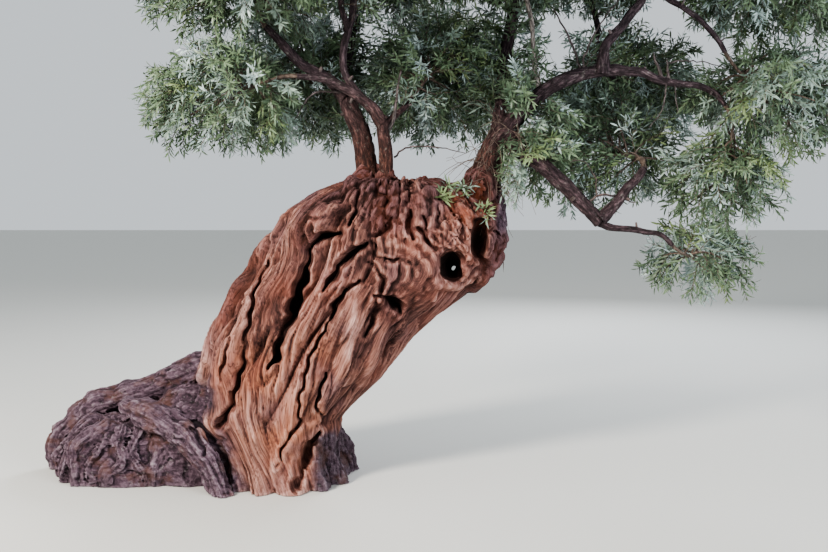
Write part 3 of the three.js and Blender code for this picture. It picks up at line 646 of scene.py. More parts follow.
def trunk_field(p, with_relief):
    """The whole trunk, as it is drawn. Without its relief it shows where the surface can lie."""
    d = body_field(p)
    for path, radii in strands:
        near = near_path(p, path, STRAND_MARGIN)
        d[near] = joined(d[near], tube(p[near], path, radii), STRAND_EASE)
    if with_relief:
        close = np.abs(d) < RELIEF_REACH
        d[close] -= relief(p[close])
    for side, flat, ys, half, depths in fissures:
        low = [flat[:, 0].min(), -TRUNK_REACH, flat[:, 1].min()]
        high = [flat[:, 0].max(), TRUNK_REACH, flat[:, 1].max()]
        near = within(p, low, high, FISSURE_MARGIN) & (p[:, 1] * side > -FISSURE_MARGIN)
        q = p[near]
        distance, (y, w, deep) = along_segments(q[:, [0, 2]], flat, ys, half, depths)
        inward = (y - q[:, 1]) * side
        if with_relief:
            fibres = laid_out(*grain_of(q))
            ragged = 7 * noise(q / [70, 70, 110], 71) + 13 * noise(fibres / [24, 24, 230], 72)
            distance = distance + ragged * np.clip(w / 17, 0.45, 1)
        narrowed = w * (1.2 - 0.75 * np.clip(inward / deep, 0, 1))
        lip = LIP_HEIGHT * np.exp(-((distance - w - 20) / 15) ** 2) * (np.abs(inward) < 70)
        cut = np.maximum(distance - narrowed, (inward - deep) * 0.5)
        d[near] = cut_by(d[near] - lip, cut, 6 + 0.45 * w)
    for at, half, tilt in HOLLOWS.values():
        near = within(p, at, at, max(half) + HOLLOW_MARGIN)
        d[near] = cut_by(d[near], spindle(p[near], at, half, tilt), HOLLOW_EASE)
    path, radii = EYE_HOLE
    flat_scale = np.array([1, 1, 1 / EYE_TALLER])
    near = near_path(p, path, HOLE_MARGIN)
    q = p[near]
    hole = tube(q * flat_scale, path * flat_scale, radii) + 13 * noise(q / 52, 73) + 6 * noise(q / 21, 74)
    d[near] = cut_by(d[near] - 16 * np.exp(-((hole - 26) / 20) ** 2), hole, HOLE_EASE)
    return cut_by(d, p[:, 2], GROUND_EASE)


BLOCK_MARGIN = 60  # how much farther than half its diagonal a block may lie from the rough surface
POINTS_AT_ONCE = 200000


def surface_of(field, low, high, step, block):
    """Points and four-sided faces of a field's zero surface, drawn only near it, one point to a grid cell."""
    low = np.array(low, float)
    blocks = np.ceil((np.array(high) - low) / (step * block)).astype(int)
    shape = blocks * block
    centres = (np.stack(np.meshgrid(*[np.arange(n) for n in blocks], indexing="ij"), -1) + 0.5) * step * block
    centres = centres.reshape(-1, 3) + low - step / 2
    rough = field(centres, False)
    active = np.abs(rough) < step * block * 0.87 + BLOCK_MARGIN
    grid = np.repeat(np.repeat(np.repeat(
        np.where(rough.reshape(blocks) > 0, 1e3, -1e3).astype(np.float32), block, 0), block, 1), block, 2)
    inner = np.stack(np.meshgrid(*[np.arange(block)] * 3, indexing="ij"), -1).reshape(-1, 3)
    first = np.stack(np.unravel_index(np.flatnonzero(active), blocks), 1) * block
    cells = (first[:, None, :] + inner[None, :, :]).reshape(-1, 3)
    for part in np.array_split(cells, max(1, len(cells) // POINTS_AT_ONCE)):
        grid[part[:, 0], part[:, 1], part[:, 2]] = field(part * step + low, True)
    inside = grid < 0
    count = np.zeros(shape - 1, np.int8)
    corners = [(a, b, c) for a in (0, 1) for b in (0, 1) for c in (0, 1)]
    for a, b, c in corners:
        count += inside[a:a + shape[0] - 1, b:b + shape[1] - 1, c:c + shape[2] - 1]
    mixed = np.flatnonzero((count > 0) & (count < 8))
    base = np.stack(np.unravel_index(mixed, shape - 1), 1)
    number = np.full(shape - 1, -1, np.int64)
    number.ravel()[mixed] = np.arange(len(mixed))
    total, hits = np.zeros((len(base), 3)), np.zeros(len(base))
    for a in corners:
        for axis in range(3):
            if a[axis]:
                continue
            b = tuple(a[k] + (k == axis) for k in range(3))
            va, vb = (grid[tuple((base + c).T)] for c in (a, b))
            crossed = (va < 0) != (vb < 0)
            t = np.where(crossed, va / np.where(crossed, va - vb, 1), 0)
            place = np.array(a, float) + t[:, None] * np.eye(3)[axis]
            total += place * crossed[:, None]
            hits += crossed
    points = (base + total / hits[:, None]) * step + low
    faces = []
    for axis in range(3):
        u, v = (axis + 1) % 3, (axis + 2) % 3
        size = shape.copy()
        size[axis] -= 1
        one = inside[tuple(slice(0, n) for n in size)]
        two = inside[tuple(slice(int(k == axis), int(k == axis) + n) for k, n in enumerate(size))]
        edge = np.stack(np.nonzero(one != two), 1)
        edge = edge[np.all((edge > 0) & (edge < shape - 1), axis=1)]
        out = one[tuple(edge.T)]
        ring = []
        for du, dv in ((1, 1), (0, 1), (0, 0), (1, 0)):
            cell = edge.copy()
            cell[:, u] -= du
            cell[:, v] -= dv
            ring.append(number[tuple(cell.T)])
        ring = np.stack(ring, 1)
        ring[~out] = ring[~out][:, ::-1]
        faces.append(ring)
    return points, np.vstack(faces)


def standing_out(points, faces, scales):
    """How far each point stands out of its surroundings, for each number of passes that average them."""
    near = np.concatenate([faces[:, [0, 1]], faces[:, [1, 2]], faces[:, [2, 3]], faces[:, [3, 0]]])
    a, b = np.concatenate([near, near[:, ::-1]]).T
    count = np.bincount(a, minlength=len(points))
    normals = np.zeros_like(points)
    across = np.cross(points[faces[:, 2]] - points[faces[:, 0]], points[faces[:, 3]] - points[faces[:, 1]])
    for corner in range(4):
        for k in range(3):
            normals[:, k] += np.bincount(faces[:, corner], across[:, k], len(points))
    normals = unit(normals)
    flat, found = points.copy(), []
    for done in range(1, max(scales) + 1):
        flat = np.stack([np.bincount(a, flat[b, k], len(points)) for k in range(3)], 1) / count[:, None]
        if done in scales:
            found.append(np.sum((points - flat) * normals, axis=1))
    return found


def make_piece(name, points, faces, finishes, attributes, finish_of=None):
    """A piece from points in millimetres and faces with the same number of corners."""
    mesh = bpy.data.meshes.new(name)
    mesh.vertices.add(len(points))
    mesh.vertices.foreach_set("co", (np.asarray(points) / 1000).astype(np.float32).ravel())
    mesh.loops.add(faces.size)
    mesh.loops.foreach_set("vertex_index", faces.astype(np.int32).ravel())
    mesh.polygons.add(len(faces))
    mesh.polygons.foreach_set("loop_start", np.arange(0, faces.size, faces.shape[1], dtype=np.int32))
    for finish in finishes:
        mesh.materials.append(finish)
    if finish_of is not None:
        mesh.polygons.foreach_set("material_index", finish_of.astype(np.int32))
    mesh.update(calc_edges=True)
    mesh.shade_smooth()
    for key, values in attributes.items():
        wide = np.ndim(values) == 2
        made = mesh.attributes.new(key, "FLOAT_VECTOR" if wide else "FLOAT", "POINT")
        made.data.foreach_set("vector" if wide else "value", np.asarray(values, np.float32).ravel())
    piece = bpy.data.objects.new(name, mesh)
    bpy.context.scene.collection.objects.link(piece)
    return piece


class Wired:
    """A socket of a shader's node tree. Arithmetic on it adds Math nodes, and node() adds any other node."""

    def __init__(self, tree, socket=None):
        self.tree, self.socket = tree, socket

    def node(self, kind, settings=None, sockets=None, out=0):
        made = self.tree.nodes.new("ShaderNode" + kind)
        for key, value in (settings or {}).items():
            if key == "stops":
                for k, (at, tone) in enumerate(value):
                    stop = made.color_ramp.elements[k] if k < 2 else made.color_ramp.elements.new(at)
                    stop.position, stop.color = at, colour(tone)
            else:
                setattr(made, key, value)
        for key, value in (sockets or {}).items():
            if isinstance(value, Wired):
                self.tree.links.new(value.socket, made.inputs[key])
            else:
                made.inputs[key].default_value = value
        return Wired(self.tree, made.outputs[out])

    def maths(self, operation, *values):
        return self.node("Math", {"operation": operation}, dict(enumerate(values)))

    def __add__(self, other):
        return self.maths("ADD", self, other)

    __radd__ = __add__

    def __sub__(self, other):
        return self.maths("SUBTRACT", self, other)

    def __rsub__(self, other):
        return self.maths("SUBTRACT", other, self)

    def __mul__(self, other):
        return self.maths("MULTIPLY", self, other)

    __rmul__ = __mul__

    def between(self, low, high):
        """0 below low, 1 above high and even between them."""
        return self.node("MapRange", {"clamp": True}, {"Value": self, "From Min": low, "From Max": high})

    def mixed(self, share, other):
        """This colour, turned by a share into another, which is a socket or is written as digits."""
        other = colour(other) if isinstance(other, str) else other
        return self.node("Mix", {"data_type": "RGBA"}, {0: share, 6: self, 7: other}, out=2)

    def toned(self, *stops):
        """The colour of this value on a ramp of places and colours."""
        return self.node("ValToRGB", {"stops": stops}, {"Fac": self})

    def grained(self, across, along, detail, roughness=0.6):
        """Noise at this place, with grains of these sizes in metres across and along the third coordinate."""
        sizes = (1 / across, 1 / across, 1 / along)
        scaled = self.node("VectorMath", {"operation": "MULTIPLY"}, {0: self, 1: sizes})
        return self.node("TexNoise", {}, {"Vector": scaled, "Scale": 1.0, "Detail": detail,
                                          "Roughness": roughness})


def begin_finish(name):
    """A new material, a Wired from which its nodes are made, and the place on the piece, in metres."""
    finish = bpy.data.materials.new(name)
    finish.use_nodes = True
    wired = Wired(finish.node_tree)
    return finish, wired, wired.node("TexCoord", out=3)


def end_finish(finish, shade, roughness, height, distance, specular):
    """Wires the colour, the roughness and a bump of so many metres into the material's shader."""
    shader = finish.node_tree.nodes["Principled BSDF"]
    bump = shade.node("Bump", {}, {"Strength": 0.9, "Distance": distance, "Height": height})
    for key, value in {"Base Color": shade, "Roughness": roughness, "Normal": bump}.items():
        finish.node_tree.links.new(value.socket, shader.inputs[key])
    shader.inputs["Specular IOR Level"].default_value = specular


def read(wired, key, vector=False):
    return wired.node("Attribute", {"attribute_name": key}, out=1 if vector else 2)


# Bare wood: veins and threads along the grain, rings in the swirls, paler on crests from wear and a painted
# highlight, and darker in creases and hollows, mostly painted shade over somewhat darker wood
wood, wired, place = begin_finish("weathered_wood")
grain = read(wired, "grain", True)
hollow, barked, rusty, ringed, ring_at, wear_and_painted_light, strand_tone, purple = (
    read(wired, key)
    for key in ("hollow", "barked", "rusty", "ringed", "ring_at", "wear_and_painted_light", "strand_tone", "purple"))
broad = place.grained(0.35, 0.35, 3)
veins = grain.grained(0.020, 0.34, 5)
threads = grain.grained(0.006, 0.20, 3, 0.7)
rings = wired.maths("SINE", ring_at * 620 + veins * 9) * 0.22 + 0.5
lines = threads * (1 - ringed * 0.25) + rings * ringed * 0.25
# Darker higher up the trunk, most on the knob and on the head's top, and less dark on the smooth strands
darker_higher_up = read(wired, "darker_higher_up")
# The crest and crease attribute pales the crests, partly wear and partly a painted highlight, and darkens the
# creases as painted shade
tone = veins * 0.55 + lines * 0.45 + wear_and_painted_light * 0.19 + strand_tone * 0.08 - darker_higher_up * 0.11 - 0.012
shade = tone.toned((0.26, "24120f"), (0.42, "52342f"), (0.54, "7e584e"), (0.68, "a57f75"), (0.82, "c9a79c"))
shade = shade.mixed(broad.between(0.45, 0.7) * 0.4, "854b3b")
ochre = place.grained(0.4, 0.4, 3).between(0.36, 0.6) * read(wired, "ochre")
shade = shade.mixed(ochre * tone.between(0.35, 0.6) * 0.45, "a5643b")
greyed = place.grained(0.2, 0.3, 4).between(0.5, 0.66) * 0.3 + purple * 0.62
shade = shade.mixed(greyed * tone.between(0.3, 0.55), "6d545d")
shade = shade.mixed(rusty * grain.grained(0.03, 0.2, 4).between(0.4, 0.6) * 0.6, "84442a")
# Thin dark checks along the grain
checks = grain.grained(0.009, 0.65, 2, 0.5)
checks = (1 - wired.maths("ABSOLUTE", checks - 0.5).between(0.005, 0.024)) * (1 - ringed)
shade = shade.mixed(checks * 0.4, "1d0d09")
# Bark of the old roots: flakes, strips along each root, seams between its plates and pale lichen
flakes = place.grained(0.022, 0.016, 5, 0.72)
warped = wired.node("VectorMath", {"operation": "MULTIPLY_ADD"}, {
    0: place.grained(0.05, 0.05, 2), 1: (0.03, 0.03, 0.02), 2: place})
warped = wired.node("VectorMath", {"operation": "MULTIPLY"}, {0: warped, 1: (11, 20, 32)})
seams = 1 - wired.node("TexVoronoi", {"feature": "DISTANCE_TO_EDGE"},
                       {"Vector": warped, "Scale": 1.0}).between(0.01, 0.12)
seams = seams * place.grained(0.08, 0.08, 4).between(0.42, 0.6)
strips = read(wired, "root_grain", True).grained(0.010, 0.11, 4, 0.65)
# On the bark too the crests are paler and the creases darker: wear with a painted highlight, and painted
# shade
bark_tone = flakes * 0.4 + strips * 0.45 + broad * 0.15 + wear_and_painted_light * 0.17 - seams * 0.08 - 0.022
bark_shade = bark_tone.toned((0.3, "1a1418"), (0.45, "40303a"), (0.58, "64535d"), (0.74, "8b7d86"))
bark_shade = bark_shade.mixed(place.grained(0.16, 0.12, 4).between(0.5, 0.64) * 0.6, "573a31")
lichen = place.grained(0.035, 0.03, 5, 0.7).between(0.58, 0.68)
bark_shade = bark_shade.mixed(lichen * 0.26, "a39d9c")
shade = shade.mixed(barked, bark_shade)
# Painted shade: where the surface lies deep below the body, in fissures and hollows, the colour goes towards
# near black over somewhat darker wood, and the stub at the right of the foot is darkened as painted shade too
shade = shade.mixed(hollow * 0.94, "120805")
bark_height = flakes * 0.6 + strips * 0.9 - seams * 0.3
height = veins * 0.5 + lines * 0.3 - checks * (1 - barked) * 0.5 + bark_height * barked
end_finish(wood, shade, 0.95 - tone * 0.22, height, distance=0.012, specular=0.25)

points, faces = surface_of(trunk_field, [-1540, -560, -30], [1420, 560, 1900], STEP, BLOCK)
points[:, 2] = np.maximum(points[:, 2], 0)
belongs, across = rings_of(points)
sunk = -body_field(points)
turn, out, along = grain_of(points)
small, large = standing_out(points, faces, (3, 24))
# Paler where the surface stands out and darker where it sinks in: wear and a painted highlight on the crests,
# painted shade in the creases
wear_and_painted_light = np.clip(small / 3.5, -1, 1) * 0.5 + np.clip(large / 12, -1, 1) * 0.5
tones = [shingled(turn, along, *sizes[:2], sizes[4])[1] for sizes in STRAND_SIZES[:2]]
head_top = rising(points[:, 2], 1560, 180) * np.clip(noise(points / 160, 91) * 1.2 + 0.55, 0, 1)
knob = np.clip(1.4 - np.linalg.norm((points - [625, -330, 1650]) / [120, 200, 130], axis=1), 0, 1)
still_barked = bark_share(points)
# Painted shade over the barked stub at the right of the foot, added to the darkening of the hollows
painted_stub_shade = 0.32 * still_barked * (points[:, 0] > 150) * (points[:, 2] < 420)
right_strip = rising(points[:, 0], 1235, 50)
trunk = make_piece("weathered_trunk", points, faces, [wood], {
    "grain": laid_out(turn, out, along) / 1000,
    "root_grain": root_grain(points) / 1000,
    "ringed": belongs,
    "ring_at": across / 1000,
    # Depth below the body, as painted shade in fissures and hollows, with the stub's painted shade
    "hollow": rising(sunk, 36, 60) + painted_stub_shade,
    "barked": still_barked,
    "wear_and_painted_light": wear_and_painted_light,
    "strand_tone": tones[0] + tones[1],
    # Darker higher up, on the knob and on the head's top, less on the smooth strands
    "darker_higher_up": rising(points[:, 2], 600, 1000) + 1.3 * knob + 0.5 * head_top - worn_smooth(points),
    "purple": np.maximum(np.maximum(head_top, right_strip), 0.7 * knob),
    "rusty": np.clip(1 - np.linalg.norm((points - [1150, -260, 1620]) / [190, 330, 200], axis=1) ** 2, 0, 1),
    "ochre": np.clip(1.3 - np.linalg.norm((points - [60, -300, 560]) / [480, 500, 460], axis=1) ** 2, 0, 1),
})
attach(trunk, "root")
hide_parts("trunk")


# Stems and boughs: living limbs with rough, plated bark, reddish brown near the trunk and purple brown
# farther out. Each swells at its foot, bends unevenly and thins towards its tip, along its limb of the part.
# Limbs: radius at the foot and the tip, whether the photograph shows it, and points from foot to tip
LIMBS = {
    "left_stem": (62, 52, True, [[545, 60, 1660], [532, 60, 1880], [500, 60, 2060], [415, 60, 2290]]),
    "front_stem": (44, 36, True, [[645, -60, 1660], [652, -62, 1900], [650, -62, 2020], [632, -60, 2140]]),
    "crossing_bough": (33, 19, True, [[632, -60, 2140], [570, -72, 2225], [471, -86, 2300], [372, -92, 2352],
        [250, -110, 2385], [140, -120, 2395]]),
    "upright_bough": (25, 17, True, [[575, -72, 2215], [490, -40, 2300], [417, -25, 2410], [399, -10, 2575],
        [446, 0, 2765], [470, 10, 3050], [480, 20, 3330]]),
    "left_bough": (40, 19, True, [[415, 60, 2290], [345, 62, 2365], [246, 50, 2435], [141, 30, 2490],
        [43, 10, 2595], [-57, 0, 2700]]),
    "side_bough": (20, 15, False, [[640, -60, 2100], [690, -30, 2165], [745, 20, 2220], [800, 90, 2290]]),
    "back_left_bough": (36, 24, False, [[490, 70, 2080], [420, 260, 2260], [330, 430, 2400],
        [240, 580, 2470]]),
    "high_back_left_bough": (24, 17, False, [[360, 375, 2350], [400, 500, 2600], [450, 620, 2850],
        [500, 700, 3010]]),
    "front_left_bough": (18, 13, False, [[425, 0, 2690], [400, -200, 2800], [400, -410, 2880],
        [410, -580, 2930]]),
    "right_stem": (90, 62, False, [[1205, -60, 1560], [1238, -60, 1800], [1300, -60, 2010],
        [1394, -70, 2137]]),
    "arched_bough": (46, 35, True, [[1394, -70, 2137], [1496, -100, 2244], [1625, -130, 2339],
        [1749, -150, 2388], [1916, -180, 2420]]),
    "arched_bough_end": (30, 14, True, [[1916, -180, 2420], [2113, -200, 2410], [2257, -200, 2365],
        [2459, -200, 2331], [2549, -190, 2292], [2611, -180, 2225]]),
    "rising_bough": (31, 20, True, [[1900, -185, 2410], [1900, -200, 2490], [1915, -200, 2560],
        [1968, -180, 2630], [2050, -150, 2724], [2135, -130, 2820], [2180, -80, 3000], [2215, -30, 3200]]),
    "overhanging_bough": (19, 13, True, [[2155, -112, 2880], [2220, -140, 2862], [2300, -160, 2810],
        [2380, -172, 2766], [2474, -180, 2696], [2551, -180, 2611], [2607, -170, 2528]]),
    "drooping_bough": (54, 35, True, [[1345, -65, 2080], [1440, -95, 1985], [1514, -120, 1918],
        [1626, -160, 1824], [1740, -180, 1725], [1837, -200, 1610], [1894, -210, 1546]]),
    "drooping_bough_end": (21, 13, True, [[1894, -210, 1546], [1985, -212, 1512], [2128, -200, 1505],
        [2247, -190, 1482], [2320, -180, 1418]]),
    "elbow_bough": (33, 24, True, [[1885, -205, 1558], [1956, -180, 1633], [2031, -150, 1708],
        [2126, -100, 1800], [2175, -40, 1860]]),
    "pale_shoot": (15, 13, False, [[1545, -110, 2285], [1530, -100, 2420], [1512, -75, 2600],
        [1490, -45, 2780], [1465, -10, 2930]]),
    "leader_bough": (50, 25, False, [[1330, -55, 2060], [1345, 70, 2260], [1380, 190, 2520],
        [1430, 200, 2850], [1470, 180, 3200], [1480, 170, 3520]]),
    "back_bough": (32, 22, False, [[1350, 90, 2290], [1290, 300, 2420], [1190, 520, 2500],
        [1120, 700, 2530]]),
    "back_right_bough": (30, 20, False, [[1740, -148, 2385], [1860, 100, 2470], [2020, 400, 2500],
        [2140, 680, 2490]]),
    "high_back_right_bough": (22, 15, False, [[1960, 285, 2492], [1990, 430, 2700], [1985, 590, 2890],
        [1970, 690, 3010]]),
    "front_right_bough": (18, 13, False, [[2172, -95, 2960], [2120, -280, 3030], [2050, -450, 3070],
        [1990, -580, 3090]]),
    "far_right_bough": (18, 13, False, [[2172, -90, 2965], [2330, -60, 3010], [2480, -20, 3020],
        [2600, 10, 3010]]),
}
RING_STEP = 16
BARK_DEPTH = 0.16  # relief of the bark as a share of the bough's radius
UNEVEN = 9  # how far a bough wanders from its limb's middle line
UP = np.array([0, 0, 1.0])


def tube_rings(centre, radii, sides, seed=None):
    """Rings of points round a line of points. With a seed they are uneven, as bark is."""
    tangents = unit(np.gradient(centre, axis=0))
    sideways = [unit(np.cross(tangents[0], [0.3, 1.0, 0.2]))]
    for tangent in tangents[1:]:
        sideways.append(unit(sideways[-1] - tangent * (sideways[-1] @ tangent)))
    sideways = np.array(sideways)
    across = np.cross(tangents, sideways)
    turns = np.linspace(0, 2 * np.pi, sides, endpoint=False)
    cosine, sine = np.cos(turns), np.sin(turns)
    out = cosine[None, :, None] * sideways[:, None, :] + sine[None, :, None] * across[:, None, :]
    length = np.repeat(path_lengths(centre)[:, None], sides, 1)
    radius = np.repeat(np.asarray(radii, float)[:, None], sides, 1)
    around = np.stack([radius * cosine, radius * sine, length], -1)
    if seed is not None:
        flat = around.reshape(-1, 3)
        mean = float(np.mean(radii))
        lumps = noise(flat / [mean * 1.5, mean * 1.5, mean * 3.2], seed)
        plates = groove(noise(flat / [mean * 0.42, mean * 0.42, 55], seed + 1), 4) - 0.6
        radius = radius * (1 + 0.16 * lumps.reshape(radius.shape) + BARK_DEPTH * plates.reshape(radius.shape))
    return centre[:, None, :] + out * radius[:, :, None], around


def ring_faces(rings, sides):
    i, j = np.meshgrid(np.arange(rings - 1), np.arange(sides), indexing="ij")
    near, far, k = i * sides, (i + 1) * sides, (j + 1) % sides
    return np.stack([near + j, near + k, far + k, far + j], -1).reshape(-1, 4)


bark, wired, place = begin_finish("rough_bark")
grain = read(wired, "grain", True)
red, pale = read(wired, "red"), read(wired, "pale")
plates = grain.grained(0.020, 0.06, 4, 0.65)
cracks = 1 - wired.maths("ABSOLUTE", grain.grained(0.012, 0.07, 3) - 0.5).between(0.01, 0.06)
shade = plates.toned((0.3, "1d1619"), (0.48, "372b30"), (0.6, "504247"), (0.74, "75676a"))
shade = shade.mixed(red, plates.toned((0.3, "20110e"), (0.5, "432720"), (0.72, "714b40")))
lichen = place.grained(0.03, 0.03, 5, 0.7).between(0.58, 0.7)
shade = shade.mixed(lichen * 0.35, "9c9a92")
shade = shade.mixed(pale * 0.75, "a39b94")
shade = shade.mixed(cracks * 0.6, "1d1416")
end_finish(bark, shade, 0.92 - plates * 0.2, plates * 0.8 - cracks * 0.7, distance=0.008, specular=0.3)

middles = {}
for number, (name, (foot, tip, _, path)) in enumerate(LIMBS.items()):
    centre = smooth_path(path, RING_STEP)
    share = np.linspace(0, 1, len(centre))
    steady = foot + (tip - foot) * share
    middles[name] = (centre, steady)
    length = share * len(centre) * RING_STEP
    wander = np.stack([noise(np.stack([length / 150, np.full(len(share), k), share * 0], 1), 60 + number)
                       for k in range(3)], 1)
    centre = centre + wander * (UNEVEN * np.sin(np.pi * share) ** 0.5)[:, None]
    radii = steady * (1 + 0.4 * np.exp(-length / (2.0 * foot)))
    sides = int(np.clip(foot * 0.55, 10, 30))
    centre = np.vstack([centre, centre[-1] + unit(centre[-1] - centre[-2]) * tip * 0.4])
    rings, around = tube_rings(centre, np.r_[radii, tip * 0.15], sides, 100 + 3 * number)
    points = rings.reshape(-1, 3)
    piece_name = name.replace("bough", "limb").replace("stem", "stem_wood").replace("shoot", "shoot_wood")
    bough = make_piece(piece_name, points, ring_faces(len(centre), sides), [bark], {
        "grain": (around.reshape(-1, 3) + 1000 * number) / 1000,
        "red": np.clip((2420 - points[:, 2]) / 500, 0, 1) * np.clip((1500 - points[:, 0]) / 300, 0.15, 1),
        "pale": np.full(len(points), float(name == "pale_shoot")),
    })
    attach(bough, "root")
    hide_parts(name)


# Foliage: each mass is a stem that goes on from its bough, with twigs to evenly spread places, leafy shoots
# along every twig and narrow leaves in pairs along every shoot. The rule is the part's, carried to finer
# twigs.
# Masses: the group whose pieces it joins, the bough that carries it, its centre and its half sizes
MASSES = {
    "foliage_left_low": ("left", "crossing_bough", [-330, 0, 2260], [590, 560, 430]),
    "foliage_left": ("left", "left_bough", [-190, -40, 3000], [700, 640, 500]),
    "foliage_left_back": ("back_left", "back_left_bough", [20, 930, 2480], [700, 640, 560]),
    "foliage_back_high_left": ("back_left", "high_back_left_bough", [600, 1020, 3380], [800, 660, 540]),
    "foliage_front_left": ("left", "front_left_bough", [430, -1000, 3080], [800, 620, 480]),
    "foliage_left_top": ("top", "upright_bough", [480, 0, 3760], [760, 720, 500]),
    "foliage_middle": ("top", "side_bough", [930, 330, 2480], [480, 430, 480]),
    "foliage_back": ("back_left", "back_bough", [1060, 1110, 2500], [700, 640, 560]),
    "foliage_middle_high": ("top", "pale_shoot", [1300, 60, 3170], [560, 540, 420]),
    "foliage_top": ("top", "leader_bough", [1480, 140, 3960], [800, 760, 520]),
    "foliage_front_right": ("front", "front_right_bough", [1880, -1000, 3150], [800, 620, 500]),
    "foliage_right_top": ("right", "rising_bough", [2350, 140, 3680], [780, 740, 520]),
    "foliage_far_right": ("right", "far_right_bough", [2980, 60, 2980], [600, 620, 500]),
    "foliage_right": ("right", "overhanging_bough", [2920, -60, 2230], [570, 560, 440]),
    "foliage_right_drooping": ("front", "arched_bough_end", [2640, -60, 1780], [420, 400, 440]),
    "foliage_right_low": ("front", "drooping_bough_end", [2560, 60, 1330], [420, 440, 330]),
    "foliage_under_arch": ("front", "elbow_bough", [2030, 420, 1980], [600, 480, 470]),
    "foliage_back_right": ("back_right", "back_right_bough", [2320, 1120, 2420], [720, 640, 540]),
    "foliage_back_high_right": ("back_right", "high_back_right_bough", [1970, 1060, 3370], [800, 660, 540]),
}
TWIGS_TO_A_MASS = 34  # in a mass of the mean size
MEAN_VOLUME = 0.23e9  # product of that mass's half sizes
SPRAYS_TO_A_TWIG = 8
SPRAY_LENGTH = 310
SPRAY_SIZES = [1, 0.8, 0.62]
SIDE_SHOOTS = [(0.28, 1), (0.5, -1), (0.7, 1)]  # place on the spray and side
SIDE_SHOOT_LENGTH = 0.46
LEAF_SPACING = 22.5
LEAF_LENGTH, LEAF_WIDTH = 63, 12
# Shares of the way to a mass's centre at which its stem turns, and past it where the stem ends
STEM_LEAD, STEM_PAST = 0.35, 0.3
TWIG_FIRST, TWIG_LAST = 0.3, 0.94  # shares of the stem between which the twigs leave it
TWIG_PARTS, TWIG_RADII, TWIG_INSET = 5, (9.5, 3.2), 110
ELBOW_DROOP, SPRAY_DROOP = 0.05, 0.22  # how far a spray's elbow and tip hang down, as shares of its length
SPRAY_RADII, SIDE_SHOOT_RADII = (2.6, 2.0, 1.2), (1.7, 1.0)
GOLDEN_A, GOLDEN_B, GOLDEN_SHARE, GOLDEN_TURN = 0.7548776662466927, 0.5698402909980532, 0.618034, 2.39996
WINDOW_WIDTH = 34  # clear width that the photograph shows each side of the limbs that can be seen
WINDOW_DEPTH = 20  # how far behind a limb's middle line the clear space reaches
WINDOW_KEPT = 0.1  # share of leaves that still hang before them
COVERED = {"arched_bough": 1600, "drooping_bough": 1590}  # X up to which leaves cover these boughs
RAGGED, RAGGED_SIZE = 0.3, 210  # how deep the bays in a mass's edge are, as a share of its size, and how wide
LEAF_TINTS = {"dark_leaf": ("4e604a", 0.25), "olive_leaf": ("66795e", 0.33), "grey_leaf": ("839589", 0.23),
              "silver_leaf": ("a5b6b3", 0.12), "young_leaf": ("71825a", 0.07)}

centres = np.array([row[2] for row in MASSES.values()], float)
halves = np.array([row[3] for row in MASSES.values()], float)


def depth_in(points):
    """How far out each point lies in each mass: 0 in its middle and 1 on its edge."""
    return np.linalg.norm((points[:, None, :] - centres) / halves, axis=2)


def in_space(points, number, edge=1.0):
    """True inside one mass, whose edge is ragged, and out of the others."""
    depths = depth_in(points)
    own = depths[:, number].copy()
    depths[:, number] = np.inf
    edge = edge * (1 - RAGGED * np.clip(noise(points / RAGGED_SIZE, 300), 0, 1))
    return (own < edge) & (own < depths.min(1) + 0.06)


def in_reach(points):
    """True where the part's own box reaches."""
    return np.all((points > np.array(cad_box[0]) * 1000) & (points < np.array(cad_box[1]) * 1000), axis=1)


def in_picture(points):
    """Place in the photograph, in pixels from its middle, and distance before the camera."""
    q = points - EYE
    ahead = q[:, 1] * math.cos(TILT) - q[:, 2] * math.sin(TILT)
    over = q[:, 1] * math.sin(TILT) + q[:, 2] * math.cos(TILT)
    return np.stack([q[:, 0], over], 1) / ahead[:, None] * PIXELS_PER_SLOPE, ahead


seen = [name for name, row in LIMBS.items() if row[2]]
shown = {name: middles[name][0][:, 0] > COVERED.get(name, -np.inf) for name in seen}
seen_points = np.vstack([middles[name][0][shown[name]][::2] for name in seen])
seen_radii = np.concatenate([middles[name][1][shown[name]][::2] for name in seen])
seen_at, seen_ahead = in_picture(seen_points)
seen_reach = (seen_radii + WINDOW_WIDTH) / seen_ahead * PIXELS_PER_SLOPE


LEAVES_AT_ONCE = 20000


def in_window(points):
    """True before a limb that the photograph shows."""
    hidden = np.zeros(len(points), bool)
    for part in np.array_split(np.arange(len(points)), max(1, len(points) // LEAVES_AT_ONCE)):
        at, ahead = in_picture(points[part])
        near = np.linalg.norm(at[:, None, :] - seen_at, axis=2) < seen_reach
        hidden[part] = np.any(near & (ahead[:, None] < seen_ahead + WINDOW_DEPTH), axis=1)
    return hidden


def spread(count):
    """Evenly spread directions, from a two-number golden sequence."""
    j = np.arange(count)
    rise = 1 - 2 * ((0.5 + j * GOLDEN_A) % 1)
    turn = 2 * np.pi * ((0.5 + j * GOLDEN_B) % 1)
    flat = np.sqrt(1 - rise ** 2)
    return np.stack([flat * np.cos(turn), flat * np.sin(turn), rise], 1)


def reached(roots, headings, ahead, down=0):
    """Points so far ahead of others, and so far below if they droop."""
    return roots + headings * np.reshape(ahead, (-1, 1)) - UP * np.reshape(down, (-1, 1))


